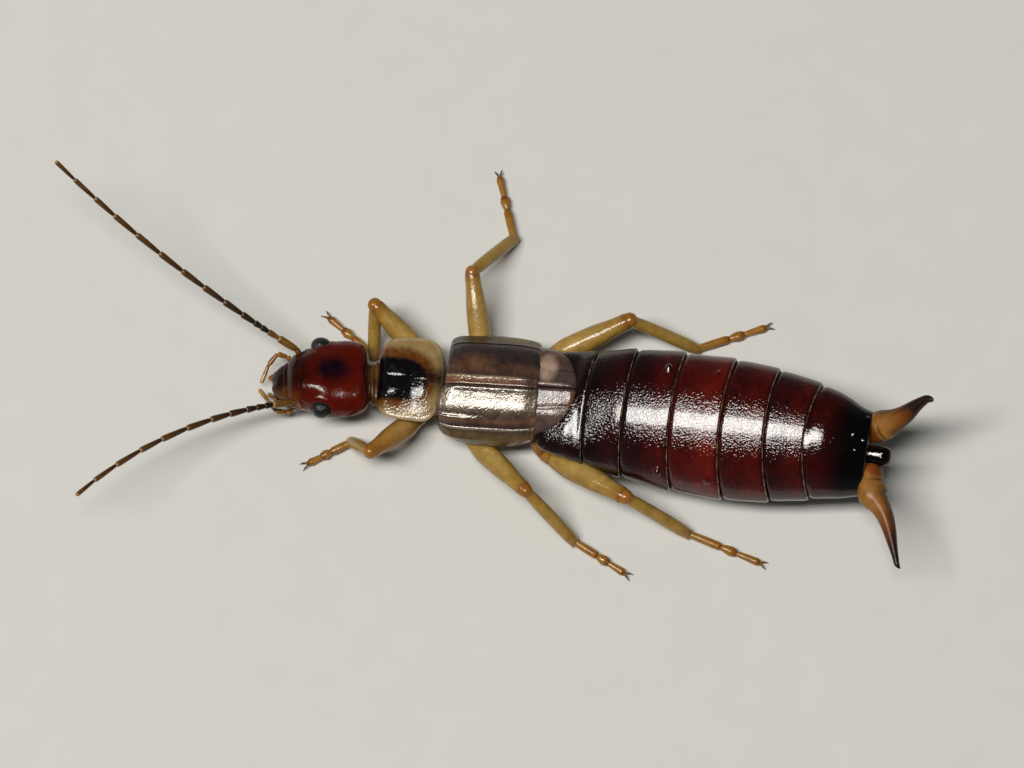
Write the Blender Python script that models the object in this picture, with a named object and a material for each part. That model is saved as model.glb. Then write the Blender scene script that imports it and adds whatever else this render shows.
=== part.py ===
"""A female earwig standing with her forceps spread: a life-size still model in solid pieces.

She faces -X, her right side is +Y and the floor is Z = 0. The origin lies on the floor under
the middle of the whole model. Sizes and places are in millimetres and bearings in degrees,
counterclockwise from +X as seen from above. Each mesh is turned into metres as it is finished.
"""
import math

import bmesh
import bpy
from mathutils import Matrix, Vector

MM = 0.001
GAP = 0.10
SHARP_ANGLE = 40.0

# Places and slopes along the body. A positive pitch lifts the tail end, and a positive roll her right side.
HEAD_REAR = (-3.41, -0.17, 1.40)
HEAD_YAW = 2.5
HEAD_PITCH = 9.0
HEAD_ROLL = -7.0
NECK_FRONT = (-3.29, -0.29, 1.00)
PRONOTUM_CENTRE = (-2.255, -0.26, 1.36)
PRONOTUM_YAW = -5.0
PROTHORAX_FRONT = (-2.88, -0.26, 0.92)
PROTHORAX_YAW = -3.0
THORAX_FRONT = (-1.26, -0.46, 1.16)
THORAX_YAW = -7.0
WINGS_FRONT = (-1.195, -0.43, 0.0)
WINGS_YAW = -4.4
WINGS_PITCH = 3.5
ABDOMEN_FRONT = (1.74, -0.90, 1.45)
ABDOMEN_YAW = -10.85
ABDOMEN_PITCH = 5.5

# Sections of lofted pieces: distance along, half width, rise above and drop below the axis.
# Those of the head run forwards from the nape, and all the others towards the tail.
HEAD_SECTIONS = (
    (0.00, 0.72, 0.34, 0.38),
    (0.06, 0.86, 0.41, 0.46),
    (0.16, 0.95, 0.455, 0.50),
    (0.34, 1.02, 0.48, 0.55),
    (0.60, 1.06, 0.53, 0.57),
    (0.90, 1.06, 0.60, 0.57),
    (1.15, 1.015, 0.69, 0.56),
    (1.45, 0.905, 0.71, 0.52),
    (1.62, 0.845, 0.70, 0.48),
    (1.78, 0.795, 0.66, 0.44),
    (1.90, 0.745, 0.61, 0.40),
    (1.99, 0.680, 0.54, 0.36),
)
HEAD_ROUNDNESS = 2.25
LABRUM_SIDEWAYS = 0.0
LABRUM_SECTIONS = (
    (2.09, 0.58, 0.40, 0.04),
    (2.20, 0.53, 0.37, 0.04),
    (2.30, 0.49, 0.33, 0.04),
    (2.42, 0.41, 0.27, 0.04),
    (2.52, 0.32, 0.18, 0.04),
    (2.60, 0.20, 0.09, 0.04),
)
NECK_SECTIONS = (
    (0.00, 0.54, 0.28, 0.20),
    (0.10, 0.58, 0.12, 0.22),
    (0.32, 0.60, 0.10, 0.24),
)
PROTHORAX_SECTIONS = (
    (0.00, 0.50, 0.16, 0.12),
    (0.35, 0.74, 0.20, 0.16),
    (1.15, 0.80, 0.20, 0.16),
    (1.50, 0.72, 0.18, 0.12),
)
THORAX_SECTIONS = (
    (0.00, 0.72, 0.18, 0.26),
    (0.30, 0.96, 0.26, 0.30),
    (1.90, 1.02, 0.26, 0.30),
    (2.45, 0.92, 0.22, 0.24),
)
# Those of the abdomen end with the distance that each is moved sideways.
ABDOMEN_SECTIONS = (
    (-0.35, 1.31, 0.33, 0.59, 0.00),
    (-0.10, 1.42, 0.40, 0.66, 0.00),
    (0.40, 1.50, 0.53, 0.72, 0.00),
    (0.80, 1.56, 0.63, 0.78, 0.00),
    (1.30, 1.65, 0.725, 0.86, 0.00),
    (1.82, 1.745, 0.815, 0.92, 0.00),
    (3.09, 1.86, 0.95, 1.00, 0.00),
    (4.44, 1.88, 0.99, 1.02, 0.01),
    (5.65, 1.75, 0.95, 0.98, 0.06),
    (6.75, 1.52, 0.865, 0.88, 0.06),
    (7.15, 1.43, 0.83, 0.83, 0.03),
    (7.55, 1.33, 0.76, 0.78, 0.00),
    (8.05, 1.17, 0.67, 0.72, -0.07),
    (8.38, 1.09, 0.60, 0.65, -0.06),
)
PYGIDIUM_SIDEWAYS = -0.06
PYGIDIUM_RAISED = 0.14
PYGIDIUM_SECTIONS = (
    (0.06, 0.215, 0.20, 0.22),
    (0.38, 0.23, 0.20, 0.22),
    (0.51, 0.22, 0.175, 0.21),
    (0.585, 0.18, 0.12, 0.16),
    (0.62, 0.11, 0.06, 0.09),
)

# The eyes in their cups and the sockets of the feelers.
EYE_FORWARD = 1.265
EYE_SIDEWAYS = 0.90
EYE_RAISED = 0.20
EYE_RADII = (0.27, 0.24, 0.28)
SOCKET_RADIUS = 0.24

# The jaws meet under the upper lip: forward, sideways and radius along each.
JAW_DROP = -0.22
JAW_STATIONS = (
    (2.06, 0.34, 0.18),
    (2.28, 0.35, 0.16),
    (2.46, 0.28, 0.13),
    (2.58, 0.17, 0.08),
)

# The palps bend round in front of the mouth.
PALP_RADIUS = 0.15
PALP_TIP_RADIUS = 0.10
PALP_R = (
    (-5.20, 0.36, 0.48),
    (-5.50, 0.56, 0.58),
    (-5.79, 0.58, 0.68),
    (-6.08, 0.38, 0.70),
    (-6.22, 0.08, 0.64),
    (-6.32, -0.20, 0.54),
)
PALP_L = (
    (-5.20, -0.64, 0.48),
    (-5.55, -0.98, 0.58),
    (-5.88, -0.98, 0.66),
    (-6.16, -0.78, 0.62),
    (-6.32, -0.54, 0.53),
)

# The shield behind the head, with its dome, two humps and the furrow between them.
PRONOTUM_HALF_LENGTH = 0.885
PRONOTUM_HALF_WIDTH = 1.14
PRONOTUM_SQUARENESS = 0.62
PRONOTUM_WIDENING = 0.05
PRONOTUM_RISE = 0.40
PRONOTUM_EDGE = 0.14
PRONOTUM_POINTS = 40
HUMP_HEIGHT = 0.10
HUMP_PLACE = (-0.35, 0.42)
HUMP_REACH = (0.35, 0.26)
FURROW_DEPTH = 0.06
FURROW_REACH = (0.45, 0.12)

# The wing cases: their arched roof, side flanges and the narrowing towards each end.
TEGMEN_LENGTH = 2.50
TEGMEN_HALF_WIDTH = 1.44
TEGMEN_EDGE_HEIGHT = 1.37
TEGMEN_FLANGE = 0.22
TEGMEN_FLANGE_LEAN = 0.04
TEGMEN_FLARE = 0.14
TEGMEN_THICKNESS = 0.30
# Their roof is lower at its front edge by one share and at its rear edge by another.
TEGMEN_FRONT_FALL = 0.12
TEGMEN_REAR_FALL = 0.07
TEGMEN_REAR_STRETCH = (2.1, 2.5)
# Towards its side the wall thins and leans in, by these shares of its thickness.
TEGMEN_THINNING = 0.55
TEGMEN_LEAN = 0.60
# How far the front edge of the right and of the left wing case is drawn forwards.
SHOULDER_SWEEP = {1.0: -0.04, -1.0: 0.18}
# The roof over both wing cases, from the suture to the edge: across and up.
ROOF = (
    (0.05, 0.645),
    (0.16, 0.638),
    (0.48, 0.567),
    (0.84, 0.462),
    (1.10, 0.300),
    (1.27, 0.155),
    (1.36, 0.075),
    (1.44, 0.000),
)
TEGMEN_NARROWING = (
    (0.00, 0.86),
    (0.08, 0.93),
    (0.35, 0.99),
    (1.00, 1.00),
    (1.80, 1.00),
    (2.20, 0.97),
    (2.42, 0.93),
    (2.50, 0.88),
)

# The folded wing tips that reach out behind the wing cases.
WING_TIP_LENGTH = 0.93
WING_TIP_WIDTH = 1.20
WING_TIP_LEVEL = 1.325
WING_TIP_SLOPE = 0.93
WING_TIP_THICKNESS = 0.24
WING_TIP_DROOP = 0.05
WING_TIP_STATIONS = (0.0, 0.25, 0.5, 0.72, 0.88, 0.97)
WING_TIP_POINTS = 7
WING_TIP_CLEARANCE_HEIGHT = 0.60

# The rings of the abdomen: their ends along its axis, and the swelling of each towards its rear margin.
SEGMENT_ENDS = (-0.35, 0.72, 1.80, 3.09, 4.44, 5.63, 6.72, 8.38)
SEGMENT_NAMES = ("t2", "t3", "t4", "t5", "t6", "t7", "t10")
SEGMENT_SWELL = ((0.0, 0.950), (0.10, 0.985), (0.55, 1.0), (0.90, 1.012), (1.0, 0.980))
SEGMENT_POINTS = 36
TOP_POWER = 2.15
BASE_POWER = 2.05
# How the margins of the rings curve in plan: distance along, bow and skew.
SEGMENT_CURVES = (
    (-0.35, 0.00, 0.00),
    (0.72, 0.10, 0.05),
    (1.80, 0.10, 0.04),
    (3.09, 0.15, 0.07),
    (4.44, 0.18, 0.09),
    (5.63, 0.22, 0.12),
    (6.72, 0.29, 0.12),
    (7.60, 0.18, 0.06),
    (8.38, 0.00, 0.00),
)
# The abdomen is rolled by this angle behind the end of a stretch in which the roll begins.
ABDOMEN_ROLL = 13.0
ROLL_STRETCH = (0.4, 1.6)

# Each arm of the forceps: share of the length, half width and half height; then share and bearing.
FORCEPS_R_STATIONS = (
    (0.00, 0.43, 0.34),
    (0.18, 0.43, 0.34),
    (0.24, 0.41, 0.33),
    (0.32, 0.36, 0.30),
    (0.48, 0.272, 0.25),
    (0.59, 0.218, 0.215),
    (0.70, 0.176, 0.178),
    (0.81, 0.137, 0.145),
    (0.91, 0.100, 0.110),
    (1.00, 0.050, 0.060),
)
FORCEPS_L_STATIONS = (
    (0.00, 0.24, 0.24),
    (0.03, 0.28, 0.28),
    (0.11, 0.30, 0.30),
    (0.21, 0.365, 0.33),
    (0.27, 0.375, 0.33),
    (0.37, 0.27, 0.29),
    (0.47, 0.22, 0.245),
    (0.56, 0.19, 0.21),
    (0.71, 0.142, 0.16),
    (0.855, 0.095, 0.115),
    (0.955, 0.068, 0.078),
    (1.00, 0.050, 0.055),
)
FORCEPS_R_BEARINGS = ((0.0, 3.0), (0.35, 14.0), (0.63, 32.0), (0.86, 20.0), (1.0, -66.0))
FORCEPS_L_BEARINGS = (
    (0.0, -95.0), (0.17, -90.0), (0.25, -80.0), (0.33, -54.0), (0.42, -62.0),
    (0.54, -73.0), (0.66, -78.0), (0.80, -78.0), (0.93, -81.0), (1.0, -38.0),
)
FORCEPS_POINTS = 16
# Each arm: its root as distances along, across and up from the abdomen's end, its climb and its length.
FORCEPS_R = ((-0.10, 0.64, -0.12), 41.0, 2.31)
FORCEPS_L = ((0.13, -0.36, 0.07), 3.0, 2.97)

# Feelers: the length of each of their joints from the head outwards.
FEELER_R_JOINTS = (0.65, 0.32, 0.22, 0.22, 0.42, 0.59, 0.68, 0.72, 0.77, 0.80, 0.79, 0.69, 0.75, 0.69)
FEELER_L_JOINTS = (0.65, 0.22, 0.24, 0.28, 0.48, 0.54, 0.71, 0.77, 0.68, 0.80, 0.77, 0.67)
# Feelers: root in the head, joints, bearings and climbs at root and tip.
FEELER_R = ((-5.27, 0.55, 1.40), FEELER_R_JOINTS, (151.0, 139.2), (15.0, 24.0))
FEELER_L = ((-5.31, -0.84, 1.34), FEELER_L_JOINTS, (188.4, 227.1), (8.0, 20.0))
# Feelers: the joint that begins each of their four lengths, and the number of joints.
FEELER_R_LENGTHS = (0, 1, 6, 10, 14)
FEELER_L_LENGTHS = (0, 1, 6, 9, 12)
FEELER_ROOT_RADIUS = 0.25
FEELER_TIP_RADIUS = 0.15
FEELER_WAIST = 0.02
# The bead shape of one joint: share of its length and share of its radius.
BEAD = ((0.35, 1.0), (0.80, 1.0))
BEAD_ENDS = (0.80, 0.86)

# Legs: lengths and radii for each pair.
FEMUR_LENGTH = {"front": 2.03, "middle": 2.46, "hind": 2.70}
TIBIA_LENGTH = {"front": 1.58, "middle": 2.06, "hind": 2.20}
FEMUR_RADIUS = {"front": 0.31, "middle": 0.29, "hind": 0.32}
COXA_RADIUS = 0.27
TIBIA_RADIUS = 0.24
TARSUS_RADIUS = 0.22
CLAW_LENGTH = 0.26
CLAW_SPREAD = 38.0
CLAW_RADII = (0.085, 0.075, 0.03)
SOLE_DEPTH = 0.10
ANKLE_HEIGHT = 0.26
TOE_HEIGHT = 0.19

# The swelling of each part of a leg: share of its length and share of its radius.
COXA_SHAPE = ((0.0, 1.0), (1.0, 0.9))
FEMUR_SHAPE = ((0.0, 0.72), (0.12, 0.86), (0.32, 1.0), (0.60, 0.96), (0.85, 0.82), (1.0, 0.78))
TIBIA_SHAPE = ((0.0, 1.0), (0.2, 0.96), (0.8, 1.0), (1.0, 1.0))
TARSUS_SHAPE = (
    (0.0, 1.0), (0.42, 0.92), (0.46, 0.80), (0.52, 1.0),
    (0.64, 1.0), (0.68, 0.76), (0.92, 0.86), (1.0, 0.62),
)

# Legs: pair, side, root of the coxa, hip, bearings of femur, tibia and tarsus, knee height, tarsus length.
LEG_POSES = (
    ("front", "R", (-2.02, 0.02, 0.66), (-1.88, 0.56, 0.58), 136.8, 268.0, 138.5, 1.40, 1.60),
    ("front", "L", (-2.04, -0.66, 0.66), (-2.03, -1.11, 0.58), 222.5, 131.5, 206.6, 1.60, 1.24),
    ("middle", "R", (-0.30, -0.18, 0.66), (-0.32, 0.45, 0.58), 97.5, 48.5, 102.4, 1.41, 1.78),
    ("middle", "L", (-0.36, -0.98, 0.66), (-0.72, -1.64, 0.58), -47.8, -39.8, -32.6, 1.47, 1.58),
    ("hind", "R", (0.92, -0.35, 0.66), (1.24, 0.44, 0.58), 22.1, -14.8, 18.2, 1.40, 1.96),
    ("hind", "L", (0.92, -1.25, 0.66), (1.37, -2.12, 0.58), -33.6, -21.9, -22.4, 1.52, 2.06),
)


def clear_scene():
    for item in list(bpy.data.objects):
        bpy.data.objects.remove(item, do_unlink=True)


def new_collection(name):
    group = bpy.data.collections.new(name)
    bpy.context.scene.collection.children.link(group)
    return group


def new_material(name, colour, roughness):
    made = bpy.data.materials.new(name)
    made.use_nodes = True
    shader = made.node_tree.nodes["Principled BSDF"]
    shader.inputs["Base Color"].default_value = (*colour, 1.0)
    shader.inputs["Roughness"].default_value = roughness
    shader.inputs["Metallic"].default_value = 0.0
    return made


def body_frame(origin, yaw, pitch=0.0, roll=0.0):
    """Axes of a body piece: along to the tail, across to her right, and up."""
    turn = Matrix.Rotation(math.radians(yaw), 4, "Z") @ Matrix.Rotation(-math.radians(pitch), 4, "Y")
    return Matrix.Translation(Vector(origin)) @ turn @ Matrix.Rotation(math.radians(roll), 4, "X")


def rolled(wide, high, degrees):
    """A point across and up after a turn about the axis that lifts her right side."""
    turn = math.radians(degrees)
    return wide * math.cos(turn) - high * math.sin(turn), high * math.cos(turn) + wide * math.sin(turn)


def ramp(low, high, value):
    """0 before low and 1 after high, easing between them."""
    share = max(0.0, min(1.0, (value - low) / (high - low)))
    return share * share * (3.0 - 2.0 * share)


def bearing_vector(bearing, climb=0.0):
    """Unit vector at a bearing in the floor's plane and a climb above it, both in degrees."""
    flat = math.cos(math.radians(climb))
    turn = math.radians(bearing)
    return Vector((flat * math.cos(turn), flat * math.sin(turn), math.sin(math.radians(climb))))


def scaled(rows, radius):
    """The same rows of share and factor, with each factor turned into a radius."""
    return [(share, factor * radius) for share, factor in rows]


def rounded_section(half_width, rise, drop, top_power, base_power, count):
    """Points (across, up) of a superellipse that rises more or less than it drops."""
    points = []
    for step in range(count):
        turn = 2.0 * math.pi * step / count
        across, upward = math.cos(turn), math.sin(turn)
        power = top_power if upward >= 0.0 else base_power
        height = rise if upward >= 0.0 else drop
        wide = half_width * math.copysign(abs(across) ** (2.0 / power), across)
        high = height * math.copysign(abs(upward) ** (2.0 / power), upward)
        points.append((wide, high))
    return points


def blend_rows(rows, distance):
    """Straight-line values between the rows on either side of a distance, which is each row's first value."""
    for before, after in zip(rows, rows[1:]):
        if distance <= after[0]:
            share = (distance - before[0]) / (after[0] - before[0])
            return [a + (b - a) * share for a, b in zip(before[1:], after[1:])]
    return list(rows[-1][1:])


def loft(rings):
    """Closed solid through rings of the same number of points, with a fan at each end."""
    solid = bmesh.new()
    loops = [[solid.verts.new(point) for point in ring] for ring in rings]
    count = len(loops[0])
    for first, second in zip(loops, loops[1:]):
        for step in range(count):
            after = (step + 1) % count
            solid.faces.new((first[step], first[after], second[after], second[step]))
    for loop in (loops[0], loops[-1]):
        middle = solid.verts.new(sum((vert.co for vert in loop), Vector()) / count)
        for step in range(count):
            solid.faces.new((loop[step], loop[(step + 1) % count], middle))
    bmesh.ops.recalc_face_normals(solid, faces=solid.faces)
    return solid


def loft_sections(frame, sections, powers, count, way=1.0, sideways=0.0, raised=0.0):
    """Loft of superellipse sections along the frame's first axis, or against it where way is -1."""
    rings = []
    for along, half_width, rise, drop in sections:
        section = rounded_section(half_width, rise, drop, powers[0], powers[1], count)
        placed = [Vector((way * along, wide + sideways, high + raised)) for wide, high in section]
        rings.append([frame @ point for point in placed])
    return loft(rings)


def tube(points, radii, resolution=2):
    """Closed round tube along points, with a radius at each: a bevelled curve with welded caps."""
    curve = bpy.data.curves.new("tube", "CURVE")
    curve.dimensions = "3D"
    curve.bevel_depth = 1.0
    curve.bevel_resolution = resolution
    curve.use_fill_caps = True
    spline = curve.splines.new("POLY")
    spline.points.add(len(points) - 1)
    for knot, point, radius in zip(spline.points, points, radii):
        knot.co = (*point, 1.0)
        knot.radius = radius
    holder = bpy.data.objects.new("tube", curve)
    bpy.context.scene.collection.objects.link(holder)
    evaluated = holder.evaluated_get(bpy.context.evaluated_depsgraph_get())
    mesh = bpy.data.meshes.new_from_object(evaluated)
    solid = bmesh.new()
    solid.from_mesh(mesh)
    bpy.data.objects.remove(holder, do_unlink=True)
    bpy.data.curves.remove(curve)
    bpy.data.meshes.remove(mesh)
    bmesh.ops.remove_doubles(solid, verts=solid.verts, dist=0.0001)
    bmesh.ops.recalc_face_normals(solid, faces=solid.faces)
    return solid


def ball(centre, radii, segments=16, rings=10):
    """Ellipsoid with radii along X, Y and Z."""
    solid = bmesh.new()
    bmesh.ops.create_uvsphere(solid, u_segments=segments, v_segments=rings, radius=1.0)
    bmesh.ops.scale(solid, vec=radii, verts=solid.verts)
    bmesh.ops.translate(solid, vec=centre, verts=solid.verts)
    return solid


def cut(solid, point, normal):
    """Keep the side of the solid that the normal points away from, closed with a flat face."""
    geometry = solid.verts[:] + solid.edges[:] + solid.faces[:]
    result = bmesh.ops.bisect_plane(
        solid, geom=geometry, dist=0.0001, plane_co=point, plane_no=normal, clear_outer=True
    )
    rim = [item for item in result["geom_cut"] if isinstance(item, bmesh.types.BMEdge)]
    if rim:
        bmesh.ops.edgeloop_fill(solid, edges=rim)
        bmesh.ops.recalc_face_normals(solid, faces=solid.faces)


def temporary_object(solid, name, group):
    mesh = bpy.data.meshes.new(name)
    solid.to_mesh(mesh)
    solid.free()
    item = bpy.data.objects.new(name, mesh)
    group.objects.link(item)
    return item


def combine(solid, others, operation):
    """Boolean of one solid with a list of others, which keeps only the largest closed surface."""
    working = new_collection("working")
    tools = new_collection("tools")
    base = temporary_object(solid, "base", working)
    for number, other in enumerate(others):
        temporary_object(other, f"tool_{number}", tools)
    change = base.modifiers.new("change", "BOOLEAN")
    change.operation = operation
    change.operand_type = "COLLECTION"
    change.collection = tools
    evaluated = base.evaluated_get(bpy.context.evaluated_depsgraph_get())
    mesh = bpy.data.meshes.new_from_object(evaluated)
    for group in (working, tools):
        for item in list(group.objects):
            bpy.data.objects.remove(item, do_unlink=True)
        bpy.data.collections.remove(group)
    joined = bmesh.new()
    joined.from_mesh(mesh)
    bpy.data.meshes.remove(mesh)
    bmesh.ops.remove_doubles(joined, verts=joined.verts, dist=0.0001)
    keep_largest(joined)
    return joined


def keep_largest(solid):
    """Delete every loose surface but the one with the most points."""
    unseen = set(solid.verts)
    shells = []
    while unseen:
        front = [unseen.pop()]
        shell = list(front)
        while front:
            vert = front.pop()
            for edge in vert.link_edges:
                other = edge.other_vert(vert)
                if other in unseen:
                    unseen.remove(other)
                    front.append(other)
                    shell.append(other)
        shells.append(shell)
    shells.sort(key=len)
    for shell in shells[:-1]:
        bmesh.ops.delete(solid, geom=shell, context="VERTS")


def add_piece(name, solid, finish):
    """Turn a solid into a smooth-shaded object in metres, in the earwig's collection."""
    bmesh.ops.scale(solid, vec=(MM, MM, MM), verts=solid.verts)
    bmesh.ops.triangulate(solid, faces=solid.faces)
    mesh = bpy.data.meshes.new(name)
    solid.to_mesh(mesh)
    solid.free()
    mesh.shade_smooth()
    mesh.set_sharp_from_angle(angle=math.radians(SHARP_ANGLE))
    mesh.materials.append(finish)
    item = bpy.data.objects.new(name, mesh)
    EARWIG.objects.link(item)


def make_head():
    """Capsule with cups for the eyes and sockets for the feelers, and the upper lip."""
    frame = body_frame(HEAD_REAR, HEAD_YAW, HEAD_PITCH, HEAD_ROLL)
    powers = (HEAD_ROUNDNESS, HEAD_ROUNDNESS)
    capsule = loft_sections(frame, HEAD_SECTIONS, powers, 36, way=-1.0)
    hollows = []
    for side, letter in ((1.0, "R"), (-1.0, "L")):
        centre = frame @ Vector((-EYE_FORWARD, side * EYE_SIDEWAYS, EYE_RAISED))
        hollows.append(ball(centre, [radius + GAP for radius in EYE_RADII]))
        add_piece(f"eye_{letter}", ball(centre, EYE_RADII), BLACK)
    for feeler in (FEELER_R, FEELER_L):
        socket = SOCKET_RADIUS + GAP
        hollows.append(ball(feeler[0], (socket, socket, socket), 12, 8))
    hollows.extend(scape_grooves())
    add_piece("head", combine(capsule, hollows, "DIFFERENCE"), RED_BROWN)
    labrum = loft_sections(frame, LABRUM_SECTIONS, powers, 24, way=-1.0, sideways=LABRUM_SIDEWAYS)
    add_piece("labrum", combine(labrum, scape_grooves(), "DIFFERENCE"), RED_BROWN)


def make_jaw(side):
    """One jaw, trimmed flat where it meets the other and where it lies under the upper lip."""
    frame = body_frame(HEAD_REAR, HEAD_YAW, HEAD_PITCH, HEAD_ROLL)
    points, radii = [], []
    for forward, wide, radius in JAW_STATIONS:
        points.append(frame @ Vector((-forward, side * wide + LABRUM_SIDEWAYS, JAW_DROP)))
        radii.append(radius)
    jaw = tube(points, radii)
    across = frame.to_3x3() @ Vector((0.0, 1.0, 0.0))
    upward = frame.to_3x3() @ Vector((0.0, 0.0, 1.0))
    cut(jaw, frame @ Vector((0.0, LABRUM_SIDEWAYS + side * GAP / 2.0, 0.0)), -side * across)
    lip_underside = LABRUM_SECTIONS[0][3]
    cut(jaw, frame @ Vector((0.0, 0.0, -lip_underside - GAP)), upward)
    return jaw


def make_palp(route):
    radii = [PALP_RADIUS] * (len(route) - 1) + [PALP_TIP_RADIUS]
    return tube(route, radii)


def feeler_route(root, joints, bearings, climbs):
    """Joint ends of a feeler, whose bearing and climb change evenly from root to tip."""
    total = sum(joints)
    point = Vector(root)
    route = [point.copy()]
    gone = 0.0
    for length in joints:
        share = (gone + length / 2.0) / total
        bearing = bearings[0] + (bearings[1] - bearings[0]) * share
        climb = climbs[0] + (climbs[1] - climbs[0]) * share
        point = point + length * bearing_vector(bearing, climb)
        route.append(point.copy())
        gone += length
    return route


def scape_grooves():
    """Room for the first joint of each feeler: a tube along it, wider by the gap."""
    grooves = []
    for feeler in (FEELER_R, FEELER_L):
        start, end = feeler_route(*feeler)[:2]
        radius = FEELER_ROOT_RADIUS + GAP
        grooves.append(tube([start, end], [radius, radius]))
    return grooves


def make_feeler(side, feeler, lengths):
    """A feeler of bead-like joints in four lengths: the scape and three runs of the flagellum."""
    route = feeler_route(*feeler)
    count = len(route) - 1
    names = ("scape", "flagellum_1", "flagellum_2", "flagellum_3")
    for name, first, last in zip(names, lengths, lengths[1:]):
        points, radii = [], []
        for number in range(first, last):
            start, end = route[number], route[number + 1]
            along = (end - start).normalized()
            front_inset = GAP / 2.0 if number == first and number > 0 else FEELER_WAIST
            rear_inset = GAP / 2.0 if number == last - 1 and number < count - 1 else FEELER_WAIST
            share = number / (count - 1)
            radius = FEELER_ROOT_RADIUS + (FEELER_TIP_RADIUS - FEELER_ROOT_RADIUS) * share
            points.append(start + along * front_inset)
            radii.append(BEAD_ENDS[0] * radius)
            for place, swell in BEAD:
                points.append(start.lerp(end, place))
                radii.append(swell * radius)
            points.append(end - along * rear_inset)
            radii.append(BEAD_ENDS[1] * radius)
        if last == count:
            radii[-1] = 0.5 * FEELER_TIP_RADIUS
        add_piece(f"antenna_{side}_{name}", tube(points, radii), AMBER if name == "scape" else DARK_BROWN)


def coxa_hollows(pair):
    """Cups that the pair's coxae sit in: each coxa grown by the gap."""
    cups = []
    for pose in LEG_POSES:
        if pose[0] == pair:
            radius = COXA_RADIUS + GAP
            cups.append(limb(Vector(pose[2]), Vector(pose[3]), ((0.0, radius), (1.0, radius))))
    return cups


def make_pronotum():
    """A rounded shield with thin margins, two humps in front and a furrow between them."""
    frame = body_frame(PRONOTUM_CENTRE, PRONOTUM_YAW)

    def plan_point(share, step):
        turn = 2.0 * math.pi * step / PRONOTUM_POINTS
        across, along = math.sin(turn), math.cos(turn)
        length = PRONOTUM_HALF_LENGTH * math.copysign(abs(along) ** PRONOTUM_SQUARENESS, along)
        width = PRONOTUM_HALF_WIDTH * math.copysign(abs(across) ** PRONOTUM_SQUARENESS, across)
        width *= 1.0 + PRONOTUM_WIDENING * length
        return share * length, share * width

    def crown(along, across, share):
        dome = PRONOTUM_RISE * (1.0 - share ** 3.0)
        hump_along = (along - HUMP_PLACE[0]) / HUMP_REACH[0]
        hump_across = (abs(across) - HUMP_PLACE[1]) / HUMP_REACH[1]
        hump = HUMP_HEIGHT * math.exp(-hump_along ** 2 - hump_across ** 2)
        furrow_along = (along - HUMP_PLACE[0]) / FURROW_REACH[0]
        furrow_across = across / FURROW_REACH[1]
        furrow = FURROW_DEPTH * math.exp(-furrow_along ** 2 - furrow_across ** 2)
        return dome + hump - furrow

    rings = []
    for share in (0.18, 0.36, 0.52, 0.66, 0.78, 0.88, 0.95, 1.0):
        ring = []
        for step in range(PRONOTUM_POINTS):
            along, across = plan_point(share, step)
            ring.append(frame @ Vector((along, across, crown(along, across, share))))
        rings.append(ring)
    for share, drop in ((0.99, PRONOTUM_EDGE), (0.60, 0.08), (0.25, 0.06)):
        ring = []
        for step in range(PRONOTUM_POINTS):
            along, across = plan_point(share, step)
            ring.append(frame @ Vector((along, across, -drop)))
        rings.append(ring)
    return loft(rings)


def make_tegmen(side):
    """A wing case: an arched roof from the suture to a flange that turns down at its side."""
    frame = body_frame(WINGS_FRONT, WINGS_YAW, WINGS_PITCH)
    shoulder_end = TEGMEN_NARROWING[2][0]
    flange_level = TEGMEN_EDGE_HEIGHT - TEGMEN_FLANGE
    rings = []
    for along, narrowing in TEGMEN_NARROWING:
        half_width = TEGMEN_HALF_WIDTH * narrowing
        front_fall = TEGMEN_FRONT_FALL * (1.0 - min(1.0, along / shoulder_end))
        rise = 1.0 - front_fall - TEGMEN_REAR_FALL * ramp(*TEGMEN_REAR_STRETCH, along)
        outer, inner = [], []
        for across, upward in ROOF:
            wide = half_width * across / TEGMEN_HALF_WIDTH
            high = TEGMEN_EDGE_HEIGHT + rise * upward
            lean = (across / TEGMEN_HALF_WIDTH) ** 5
            outer.append((max(wide, GAP / 2.0), high))
            inner_wide = max(wide - TEGMEN_LEAN * TEGMEN_THICKNESS * lean, GAP / 2.0)
            inner.append((inner_wide, high - TEGMEN_THICKNESS * (1.0 - TEGMEN_THINNING * lean)))
        flare = TEGMEN_FLARE * math.sin(math.pi * along / TEGMEN_LENGTH) - TEGMEN_FLANGE_LEAN
        outer.append((half_width + flare, flange_level))
        inner.append((half_width + flare - 0.20, flange_level + 0.02))
        ring = []
        for wide, high in outer + inner[::-1]:
            arch = math.sin(math.pi * min(1.0, wide / TEGMEN_HALF_WIDTH))
            swept = along - SHOULDER_SWEEP[side] * arch * (1.0 - along / TEGMEN_LENGTH)
            ring.append(frame @ Vector((swept, side * wide, high)))
        rings.append(ring)
    return loft(rings)


def wing_tip_rings(side, grown=0.0, raised=0.0):
    """Sections of a wing tip, which may be grown sideways and below, and raised on top."""
    frame = body_frame(WINGS_FRONT, WINGS_YAW, WINGS_PITCH)
    rings = []
    for share in WING_TIP_STATIONS:
        along = TEGMEN_LENGTH + GAP + (WING_TIP_LENGTH + 2.0 * grown) * share - grown
        reach = (WING_TIP_WIDTH - GAP / 2.0) * math.sqrt(1.0 - share ** 2) + 2.0 * grown
        top, base = [], []
        for step in range(WING_TIP_POINTS):
            part_way = step / (WING_TIP_POINTS - 1)
            wide = GAP / 2.0 - grown + reach * part_way
            slope = blend_rows(ROOF, max(wide, ROOF[0][0]))[0]
            high = WING_TIP_LEVEL + WING_TIP_SLOPE * slope - WING_TIP_DROOP * (share + part_way ** 4)
            top.append((wide, high + raised))
            base.append((wide, high - WING_TIP_THICKNESS * (1.0 - 0.5 * part_way ** 4) - grown))
        rings.append([frame @ Vector((along, side * wide, high)) for wide, high in top + base[::-1]])
    return rings


def make_wing_tip(side):
    """The rounded packet of folded wing behind a wing case, lying on the abdomen."""
    return loft(wing_tip_rings(side))


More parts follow.
